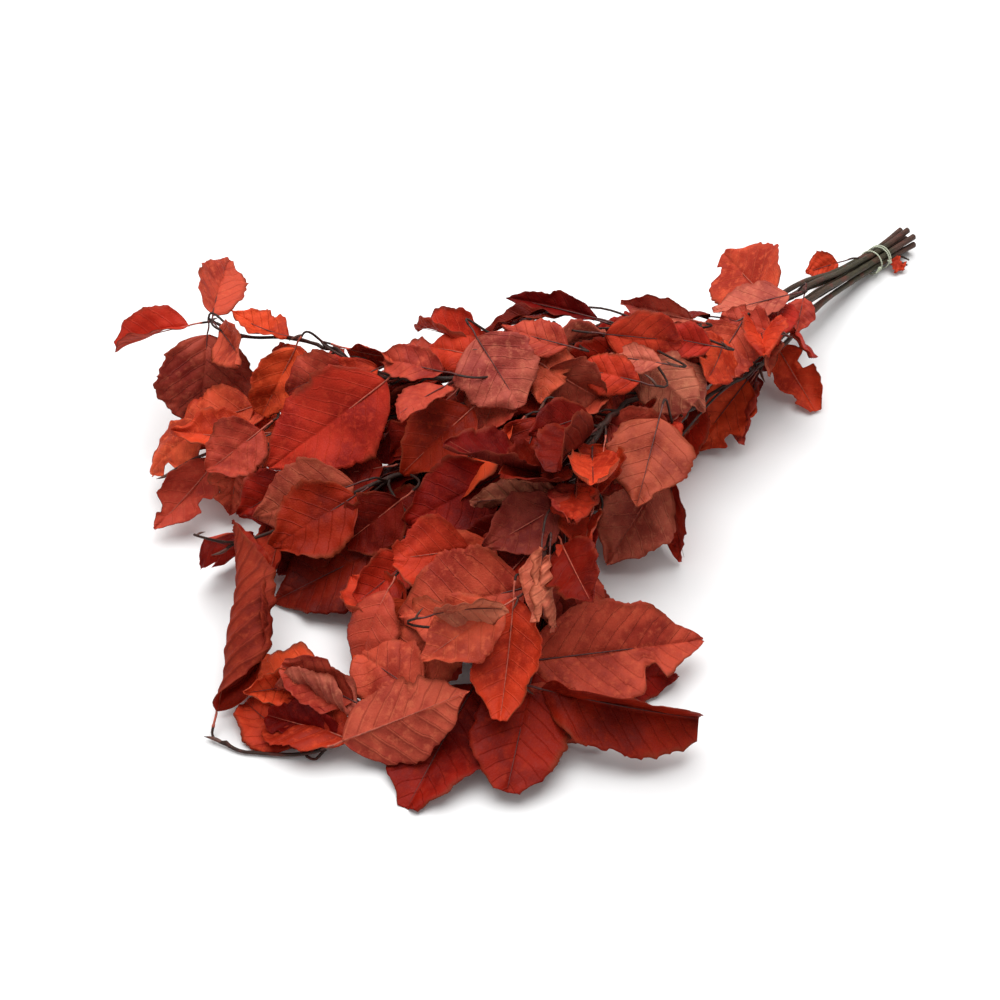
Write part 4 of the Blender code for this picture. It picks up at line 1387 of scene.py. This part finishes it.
def make_scrap():
    """A torn leaf scrap with two dark stubs, caught between the tie and the cut ends."""
    start = Vector(BUNDLE_LINE[0]) - SHIFT
    _, along, across, up = tie_axes()
    shape = start_shape(LEAF_LAYERS + BARK_LAYERS)
    ahead, aside, lift = SCRAP_PLACE
    corner = start + along * ahead + across * aside + up * lift
    scrap = Leaf(
        form="waved",
        base=tuple(corner),
        heading=-75,
        rise=-18,
        roll=10,
        length=0.014,
        width=0.95,
        tone="bright",
    )
    torn = WHOLE._replace(notches=((1, 0.5, 0.2, 0.5), (-1, 0.7, 0.15, 0.4)), cut=0.8)
    add_blade(shape, "scrap", scrap, torn, "fill")
    first = len(shape.faces)
    for ahead, length in SCRAP_STUBS:
        root = start + along * ahead + across * 0.004 - up * 0.004
        end = root + across * length - along * 0.004 - up * 0.0015
        stub = smooth_path([root, (root + end) / 2 + up * 0.0006, end], 0.001)
        add_tube(shape, stub, np.linspace(*STUB_RADII, len(stub)), 8, first_run=TWIG_RUN)
    shape.faces.ensure_lookup_table()
    for face in shape.faces[first:]:
        face.material_index = 2
    looks = [leaf_material("bright", False), leaf_material("bright", True), bark_material()]
    return finish_piece("torn_scrap", shape, looks)


# ---------------------------------------------------------------- materials


class Recipe:
    """A material while it is put together from nodes."""

    def __init__(self, name):
        self.material = bpy.data.materials.new(name)
        self.material.use_nodes = True
        self.tree = self.material.node_tree
        self.tree.nodes.clear()

    def put(self, kind, inputs, **choices):
        made = self.tree.nodes.new(kind)
        for name, choice in choices.items():
            setattr(made, name, choice)
        for name, value in inputs.items():
            socket = made.inputs[name]
            if isinstance(value, bpy.types.NodeSocket):
                self.tree.links.new(value, socket)
            else:
                socket.default_value = value
        return made

    def object_place(self):
        return self.put("ShaderNodeTexCoord", {}).outputs["Object"]

    def reading(self, layer):
        return self.put("ShaderNodeAttribute", {}, attribute_name=layer).outputs["Fac"]

    def noise(self, place, scale, detail=3.0, roughness=0.5):
        inputs = {"Vector": place, "Scale": scale, "Detail": detail, "Roughness": roughness}
        return self.put("ShaderNodeTexNoise", inputs).outputs["Fac"]

    def cell_edges(self, place, scale):
        inputs = {"Vector": place, "Scale": scale}
        choices = {"feature": "DISTANCE_TO_EDGE"}
        return self.put("ShaderNodeTexVoronoi", inputs, **choices).outputs["Distance"]

    def math(self, operation, *values):
        inputs = dict(enumerate(values))
        return self.put("ShaderNodeMath", inputs, operation=operation).outputs[0]

    def ramp(self, value, start, end, low=0.0, high=1.0):
        """From low to high with a soft start and end, as the value goes from start to end."""
        inputs = {"Value": value, "From Min": start, "From Max": end, "To Min": low, "To Max": high}
        made = self.put("ShaderNodeMapRange", inputs, interpolation_type="SMOOTHSTEP")
        return made.outputs["Result"]

    def mix(self, share, first, second):
        """Mix two colours. The node's colours are its inputs 6 and 7 and its output 2."""
        inputs = {"Factor": share, 6: first, 7: second}
        return self.put("ShaderNodeMix", inputs, data_type="RGBA").outputs[2]

    def bump(self, height, distance, strength):
        inputs = {"Height": height, "Distance": distance, "Strength": strength}
        return self.put("ShaderNodeBump", inputs).outputs["Normal"]

    def principled(self, inputs):
        return self.put("ShaderNodeBsdfPrincipled", inputs).outputs[0]

    def finish(self, surface):
        self.put("ShaderNodeOutputMaterial", {"Surface": surface})
        return self.material

    def finish_opaque(self, shade, rough, normal):
        inputs = {"Base Color": shade, "Roughness": rough, "Normal": normal}
        return self.finish(self.principled(inputs))


def opaque(colour, share=1.0):
    return (*(part * share for part in colour), 1.0)


def side_colour(tone, under):
    """The dye's colour on a leaf's upper side, or duller and paler on its underside."""
    upper = tuple(getattr(settings().tones, tone))
    if not under:
        return upper
    pale = upper[0] / UNDERSIDE_FULL
    return tuple(
        part * UNDERSIDE_SHARE + lift * pale for part, lift in zip(upper, UNDERSIDE_LIFT)
    )


def blade_shade(recipe, colour, under, place, grain, vein):
    """A blade's mottled colour, with lines along its veins, dry edges and each leaf's own tint. On
    an underside each vein gets a painted highlight on its crest and a band of painted shade beside
    it.
    """
    broad = recipe.noise(place, 38.0, 4.0, 0.55)
    across = recipe.reading("across_share")
    deep = opaque((colour[0] * 0.55, colour[1] * 0.35, colour[2] * 0.4))
    # light is a lighter mottle of the dye and the colour of pale veins, and on an underside also
    # the painted highlight on the vein crests
    light = opaque((colour[0] * 1.18, colour[1] * 1.5 + 0.008, colour[2] * 1.4 + 0.004))
    # The darker colour below is that of dark veins on an upper side and painted shade beside the
    # veins on an underside
    dark_vein_and_painted_shade = opaque((colour[0] * 0.45, colour[1] * 0.35, colour[2] * 0.35))
    shade = recipe.mix(recipe.ramp(broad, 0.34, 0.60), deep, opaque(colour))
    shade = recipe.mix(recipe.ramp(grain, 0.48, 0.72, 0.0, 0.6), shade, light)
    if under:
        # Painted shade: a dark band just beside each vein of the underside, where its raised crest
        # would cast shade
        beside = recipe.math("ADD", recipe.reading("vein_phase"), 0.13)
        beside = recipe.ramp(recipe.math("PINGPONG", beside, 0.5), 0.12, 0.0)
        beside = recipe.math("MULTIPLY", beside, recipe.ramp(across, 0.02, 0.15))
        shade = recipe.mix(recipe.math("MULTIPLY", beside, 0.6), shade, dark_vein_and_painted_shade)
        # Painted highlight: the underside's veins are lightened along their raised crests
        shade = recipe.mix(recipe.math("MULTIPLY", vein, 0.3), shade, light)
    else:
        lines = recipe.mix(recipe.reading("pale_veins"), dark_vein_and_painted_shade, light)
        shade = recipe.mix(recipe.math("MULTIPLY", vein, 0.32), shade, lines)
    dry = recipe.ramp(broad, 0.40, 0.62)
    dry = recipe.math("MULTIPLY", recipe.ramp(across, 0.80, 1.02), dry)
    shade = recipe.mix(dry, shade, opaque(DRY_EDGE))
    tint = recipe.reading("leaf_tint")
    value = recipe.math("MULTIPLY_ADD", tint, settings().leaves.variation, 1.0)
    hue = recipe.math("MULTIPLY_ADD", tint, 0.003, 0.501)
    inputs = {"Hue": hue, "Value": value, "Color": shade}
    return recipe.put("ShaderNodeHueSaturation", inputs).outputs[0]


@cache
def leaf_material(tone, under):
    """Dyed leaf: mottled, with veins, a fine network between them and drier edges; on the underside
    with a painted highlight and painted shade along the veins.
    """
    recipe = Recipe(f"{tone} leaf {'underside' if under else 'face'}")
    place = recipe.object_place()
    grain = recipe.noise(place, 260.0, 4.0, 0.6)
    vein = recipe.ramp(recipe.math("PINGPONG", recipe.reading("vein_phase"), 0.5), 0.075, 0.0)
    fading = recipe.ramp(recipe.reading("across_share"), 1.0, 0.75, 0.3, 1.0)
    vein = recipe.math("MULTIPLY", vein, fading)
    shade = blade_shade(recipe, side_colour(tone, under), under, place, grain, vein)
    network = recipe.ramp(recipe.cell_edges(place, 620.0), 0.0, 0.22)
    height = recipe.math("MULTIPLY", vein, 0.8 if under else -0.8)
    height = recipe.math("MULTIPLY_ADD", network, 0.25, height)
    height = recipe.math("MULTIPLY_ADD", grain, 0.5, height)
    normal = recipe.bump(height, 0.00035, 0.9)
    rough = recipe.ramp(grain, 0.3, 0.7, 0.62 if under else 0.44, 0.78 if under else 0.62)
    skin = recipe.principled(
        {"Base Color": shade, "Roughness": rough, "Normal": normal, "Specular IOR Level": 0.12}
    )
    glow = recipe.put("ShaderNodeBsdfTranslucent", {"Color": shade, "Normal": normal}).outputs[0]
    inputs = {0: settings().leaves.translucency, 1: skin, 2: glow}
    return recipe.finish(recipe.put("ShaderNodeMixShader", inputs).outputs[0])


@cache
def rib_material(kind):
    recipe = Recipe(f"{kind} leaf rib")
    place = recipe.object_place()
    grain = recipe.noise(place, 500.0, 3.0)
    colour = RIB_COLOURS[kind]
    shade = recipe.mix(recipe.ramp(grain, 0.35, 0.65), opaque(colour, 0.6), opaque(colour))
    normal = recipe.bump(grain, 0.0002, 0.7)
    return recipe.finish_opaque(shade, 0.55, normal)


def streak_place(recipe, squeeze):
    """A place on a round stem, squeezed along it so that patterns draw out into streaks."""
    run = recipe.math("MULTIPLY", recipe.reading("run"), squeeze)
    inputs = {"X": recipe.reading("around_x"), "Y": recipe.reading("around_y"), "Z": run}
    return recipe.put("ShaderNodeCombineXYZ", inputs).outputs[0]


@cache
def bark_material():
    """Dark purple-brown bark with streaks and pale pores, greener and greyer under the tie."""
    looks = settings().stems
    recipe = Recipe("beech bark")
    along = streak_place(recipe, 0.12)
    streaks = recipe.noise(along, 1500.0, 4.0, 0.6)
    patches = recipe.noise(recipe.object_place(), 90.0, 3.0)
    young, old = opaque(looks.bark), opaque(looks.old_bark)
    run = recipe.reading("run")
    start, full, fading, end = OLIVE_BARK
    olive = recipe.math("MULTIPLY", recipe.ramp(run, start, full), recipe.ramp(run, end, fading))
    shade = recipe.mix(recipe.math("MULTIPLY", olive, 0.95), young, old)
    shade = recipe.mix(recipe.ramp(run, *DARK_BARK), shade, opaque(looks.twig_bark))
    dark = recipe.mix(0.6, shade, opaque((0.012, 0.008, 0.007)))
    shade = recipe.mix(recipe.ramp(streaks, 0.58, 0.40), shade, dark)
    patches = recipe.ramp(patches, 0.52, 0.70, 0.0, 0.45)
    shade = recipe.mix(patches, shade, opaque((0.16, 0.030, 0.022)))
    pores = recipe.ramp(recipe.noise(streak_place(recipe, 0.5), 1900.0, 1.0), 0.70, 0.76)
    shade = recipe.mix(recipe.math("MULTIPLY", pores, 0.6), shade, opaque((0.30, 0.22, 0.17)))
    height = recipe.math("ADD", streaks, recipe.math("MULTIPLY", pores, 0.6))
    normal = recipe.bump(height, 0.0004, 0.9)
    rough = recipe.ramp(streaks, 0.3, 0.7, 0.45, 0.72)
    skin = {"Base Color": shade, "Roughness": rough, "Normal": normal, "Specular IOR Level": 0.2}
    return recipe.finish(recipe.principled(skin))


@cache
def bud_material():
    recipe = Recipe("bud scales")
    grain = recipe.noise(streak_place(recipe, 0.3), 1800.0, 3.0)
    dark, light = opaque((0.045, 0.018, 0.012)), opaque((0.14, 0.040, 0.022))
    shade = recipe.mix(recipe.ramp(grain, 0.35, 0.65), dark, light)
    normal = recipe.bump(grain, 0.0002, 0.8)
    return recipe.finish_opaque(shade, 0.5, normal)


@cache
def cut_material():
    """Cut wood: pale with a darker pith, rings and fine pores."""
    recipe = Recipe("cut wood")
    x, y = recipe.reading("around_x"), recipe.reading("around_y")
    squares = recipe.math("ADD", recipe.math("MULTIPLY", x, x), recipe.math("MULTIPLY", y, y))
    radius = recipe.math("SQRT", squares)
    rings = recipe.math("PINGPONG", radius, 0.00035)
    grain = recipe.noise(recipe.object_place(), 3000.0, 2.0)
    dark, light = opaque((0.40, 0.24, 0.16)), opaque((0.58, 0.40, 0.29))
    wood = recipe.mix(recipe.ramp(grain, 0.3, 0.7), dark, light)
    rings = recipe.ramp(rings, 0.0003, 0.00035, 0.0, 0.4)
    wood = recipe.mix(rings, wood, opaque((0.28, 0.15, 0.10)))
    wood = recipe.mix(recipe.ramp(radius, 0.0006, 0.0004), wood, opaque((0.12, 0.06, 0.04)))
    normal = recipe.bump(grain, 0.0002, 0.8)
    return recipe.finish_opaque(wood, 0.8, normal)


@cache
def cord_material():
    """Pale green-cream spun fibre."""
    looks = settings().tie
    recipe = Recipe("spun cord")
    fibres = recipe.noise(streak_place(recipe, 0.2), 6000.0, 3.0, 0.6)
    dark, light = opaque(looks.colour, 0.62), opaque(looks.colour)
    shade = recipe.mix(recipe.ramp(fibres, 0.35, 0.65), dark, light)
    normal = recipe.bump(fibres, 0.0002, 0.8)
    return recipe.finish_opaque(shade, 0.8, normal)


@cache
def floor_material():
    recipe = Recipe("pale floor")
    grain = recipe.noise(recipe.object_place(), 40.0, 2.0)
    shade = recipe.mix(grain, (0.84, 0.84, 0.84, 1.0), (0.86, 0.86, 0.86, 1.0))
    return recipe.finish(recipe.principled({"Base Color": shade, "Roughness": 0.85}))


# ---------------------------------------------------------------- stage


def make_floor():
    shape = bmesh.new()
    bmesh.ops.create_grid(shape, x_segments=1, y_segments=1, size=FLOOR_SIZE / 2)
    floor = linked("pale_floor", mesh_of("pale_floor", shape, [floor_material()]))


def aim(thing, place, target):
    thing.location = place
    thing.rotation_euler = (Vector(target) - Vector(place)).to_track_quat("-Z", "Y").to_euler()


def add_camera():
    camera = linked("bunch_camera", bpy.data.cameras.new("bunch_camera"))
    camera.data.angle = radians(CAMERA_ANGLE)
    camera.data.clip_start = 0.01
    aim(camera, camera_place() - SHIFT, -SHIFT)
    bpy.context.scene.camera = camera


def add_light(name, place, target, size, power):
    lamp = bpy.data.lights.new(name, "AREA")
    lamp.shape = "DISK"
    lamp.size = size
    lamp.energy = power
    aim(linked(name, lamp), place, target)


def add_world():
    world = bpy.data.worlds.new("soft room")
    world.use_nodes = True
    backdrop = world.node_tree.nodes["Background"]
    backdrop.inputs["Color"].default_value = (1.0, 1.0, 1.0, 1.0)
    backdrop.inputs["Strength"].default_value = settings().stage.room_light
    bpy.context.scene.world = world


# ---------------------------------------------------------------- settings


def colour_setting(name, description, default):
    return FloatVectorProperty(
        name=name, description=description, default=default, subtype="COLOR", size=3, min=0, max=1
    )


def length_setting(name, description, default, low, high):
    return FloatProperty(
        name=name,
        description=description,
        default=default,
        min=low,
        max=high,
        subtype="DISTANCE",
        unit="LENGTH",
        precision=5,
    )


def share_setting(name, description, default):
    return FloatProperty(
        name=name, description=description, default=default, min=0, max=1, subtype="FACTOR"
    )


class BeechStems(bpy.types.PropertyGroup):
    bark: colour_setting("Bark", "Young bark of the stems and twigs", (0.088, 0.042, 0.030))
    old_bark: colour_setting("Old bark", "Bark under the tie", (0.055, 0.050, 0.028))
    twig_bark: colour_setting("Twig bark", "Bark of the twigs and stem tips", (0.042, 0.018, 0.013))


class BeechLeaves(bpy.types.PropertyGroup):
    thickness: length_setting(
        "Thickness", "Thickness of a leaf's blade", 0.00025, low=0.0001, high=0.0006
    )
    translucency: share_setting(
        "Translucency", "Share of the light that passes through a blade", 0.18
    )
    variation: share_setting(
        "Variation", "How much lighter or darker one leaf is than another of its colour", 0.12
    )


class BeechTones(bpy.types.PropertyGroup):
    red: colour_setting("Red", "Plain red leaves", TONES["red"])
    bright: colour_setting("Bright red", "Brightest red leaves", TONES["bright"])
    orange: colour_setting("Orange", "Orange-red leaves", TONES["orange"])
    wine: colour_setting("Wine", "Dark wine-red leaves", TONES["wine"])
    dark: colour_setting("Dark", "Darkest leaves", TONES["dark"])
    rose: colour_setting("Rose", "Rose-red leaves", TONES["rose"])
    salmon: colour_setting("Salmon", "Salmon leaves", TONES["salmon"])
    tan: colour_setting("Tan", "Faded tan leaves", TONES["tan"])
    mauve: colour_setting("Mauve", "Dull mauve leaves", TONES["mauve"])


class BeechTie(bpy.types.PropertyGroup):
    colour: colour_setting("Cord", "Spun cord of the tie", (0.62, 0.66, 0.50))
    twist_pitch: length_setting(
        "Twist pitch",
        "Length in which the cord's strands turn once round each other",
        0.0026,
        low=0.001,
        high=0.01,
    )
    knot_size: length_setting(
        "Knot size", "Half the width of the tie's knots", 0.0012, low=0.0005, high=0.004
    )


class BeechStage(bpy.types.PropertyGroup):
    room_light: FloatProperty(
        name="Room light", description="Even light from all sides", default=0.46, min=0, max=3
    )
    lamp_power: FloatProperty(
        name="Lamp power",
        description="Power of the large soft lamp overhead",
        default=32.0,
        min=0,
        max=500,
        subtype="POWER",
        unit="POWER",
    )


class BeechBunch(bpy.types.PropertyGroup):
    stems: PointerProperty(type=BeechStems, name="Stems", description="Looks of the stems")
    leaves: PointerProperty(type=BeechLeaves, name="Leaves", description="Looks of the leaves")
    tones: PointerProperty(
        type=BeechTones, name="Leaf colours", description="Colours of the leaves"
    )
    tie: PointerProperty(type=BeechTie, name="Tie", description="Looks of the tie")
    stage: PointerProperty(type=BeechStage, name="Stage", description="Light of the stage")


# ---------------------------------------------------------------- operators


class BEECH_OT_branches(bpy.types.Operator):
    """Make the eight stems with their side twigs, buds and cut ends"""

    bl_idname = "beech.branches"
    bl_label = "Branches"

    def execute(self, context):
        for number in range(1, len(BRANCHES) + 1):
            make_branch(number)
        return {"FINISHED"}


class BEECH_OT_leaves(bpy.types.Operator):
    """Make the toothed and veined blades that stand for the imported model's leaves"""

    bl_idname = "beech.leaves"
    bl_label = "Main leaves"

    def execute(self, context):
        for placed in planned_crown().placed:
            if placed.kind == PACKED:
                leaf = (placed.name, placed.leaf)
                make_leaves(f"beech_{placed.name}", placed.leaf.tone, [leaf], (placed.name,))
        return {"FINISHED"}


class BEECH_OT_small_leaves(bpy.types.Operator):
    """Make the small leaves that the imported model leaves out"""

    bl_idname = "beech.small_leaves"
    bl_label = "Small leaves"

    def execute(self, context):
        for placed in planned_crown().placed:
            if placed.kind == SMALL:
                make_leaves(placed.name, placed.leaf.tone, [(placed.name, placed.leaf)])
        return {"FINISHED"}


class BEECH_OT_inner_leaves(bpy.types.Operator):
    """Make the leaves that fill the crown, as one or more pieces for each colour"""

    bl_idname = "beech.inner_leaves"
    bl_label = "Inner leaves"

    def execute(self, context):
        inner = [placed for placed in planned_crown().placed if placed.kind == INNER]
        for tone in TONES:
            leaves = [(placed.name, placed.leaf) for placed in inner if placed.leaf.tone == tone]
            parts = ceil(len(leaves) / MOST_INNER_LEAVES)
            for part in range(parts):
                make_leaves(f"inner_leaves_{tone}_{part + 1}", tone, leaves[part::parts])
        return {"FINISHED"}


class BEECH_OT_tie(bpy.types.Operator):
    """Make the twisted cord that is wound round the stems, with its knots"""

    bl_idname = "beech.tie"
    bl_label = "Tie"

    def execute(self, context):
        make_tie()
        return {"FINISHED"}


class BEECH_OT_scrap(bpy.types.Operator):
    """Make the torn leaf scrap beside the cut ends"""

    bl_idname = "beech.scrap"
    bl_label = "Torn scrap"

    def execute(self, context):
        make_scrap()
        return {"FINISHED"}


class BEECH_OT_stage(bpy.types.Operator):
    """Lay the pale floor and set up the soft light and the camera"""

    bl_idname = "beech.stage"
    bl_label = "Stage"

    def execute(self, context):
        make_floor()
        add_world()
        power = settings().stage.lamp_power
        add_light("overhead_lamp", LAMP_PLACE, (0.0, 0.0, 0.0), LAMP_SIZE, power)
        add_camera()
        context.scene.view_settings.view_transform = "Standard"
        return {"FINISHED"}


class BEECH_PT_panel(bpy.types.Panel):
    bl_label = "Tied Beech Bunch"
    bl_idname = "BEECH_PT_panel"
    bl_space_type = "VIEW_3D"
    bl_region_type = "UI"
    bl_category = "Beech"

    def draw(self, context):
        for operator in OPERATORS:
            self.layout.operator(operator.bl_idname)
        bunch = context.scene.beech_bunch
        for group in (bunch.stems, bunch.leaves, bunch.tones, bunch.tie, bunch.stage):
            box = self.layout.box()
            for name in type(group).__annotations__:
                box.prop(group, name)


OPERATORS = (
    BEECH_OT_branches,
    BEECH_OT_leaves,
    BEECH_OT_small_leaves,
    BEECH_OT_inner_leaves,
    BEECH_OT_tie,
    BEECH_OT_scrap,
    BEECH_OT_stage,
)
GROUPS = (BeechStems, BeechLeaves, BeechTones, BeechTie, BeechStage, BeechBunch)
CLASSES = (*GROUPS, *OPERATORS, BEECH_PT_panel)


def register():
    for each in CLASSES:
        bpy.utils.register_class(each)
    bpy.types.Scene.beech_bunch = PointerProperty(type=BeechBunch)


def unregister():
    del bpy.types.Scene.beech_bunch
    for each in reversed(CLASSES):
        bpy.utils.unregister_class(each)


def main():
    register()
    bpy.ops.beech.branches()
    bpy.ops.beech.leaves()
    bpy.ops.beech.small_leaves()
    bpy.ops.beech.inner_leaves()
    bpy.ops.beech.tie()
    bpy.ops.beech.scrap()
    bpy.ops.beech.stage()


if __name__ == "__main__":
    main()
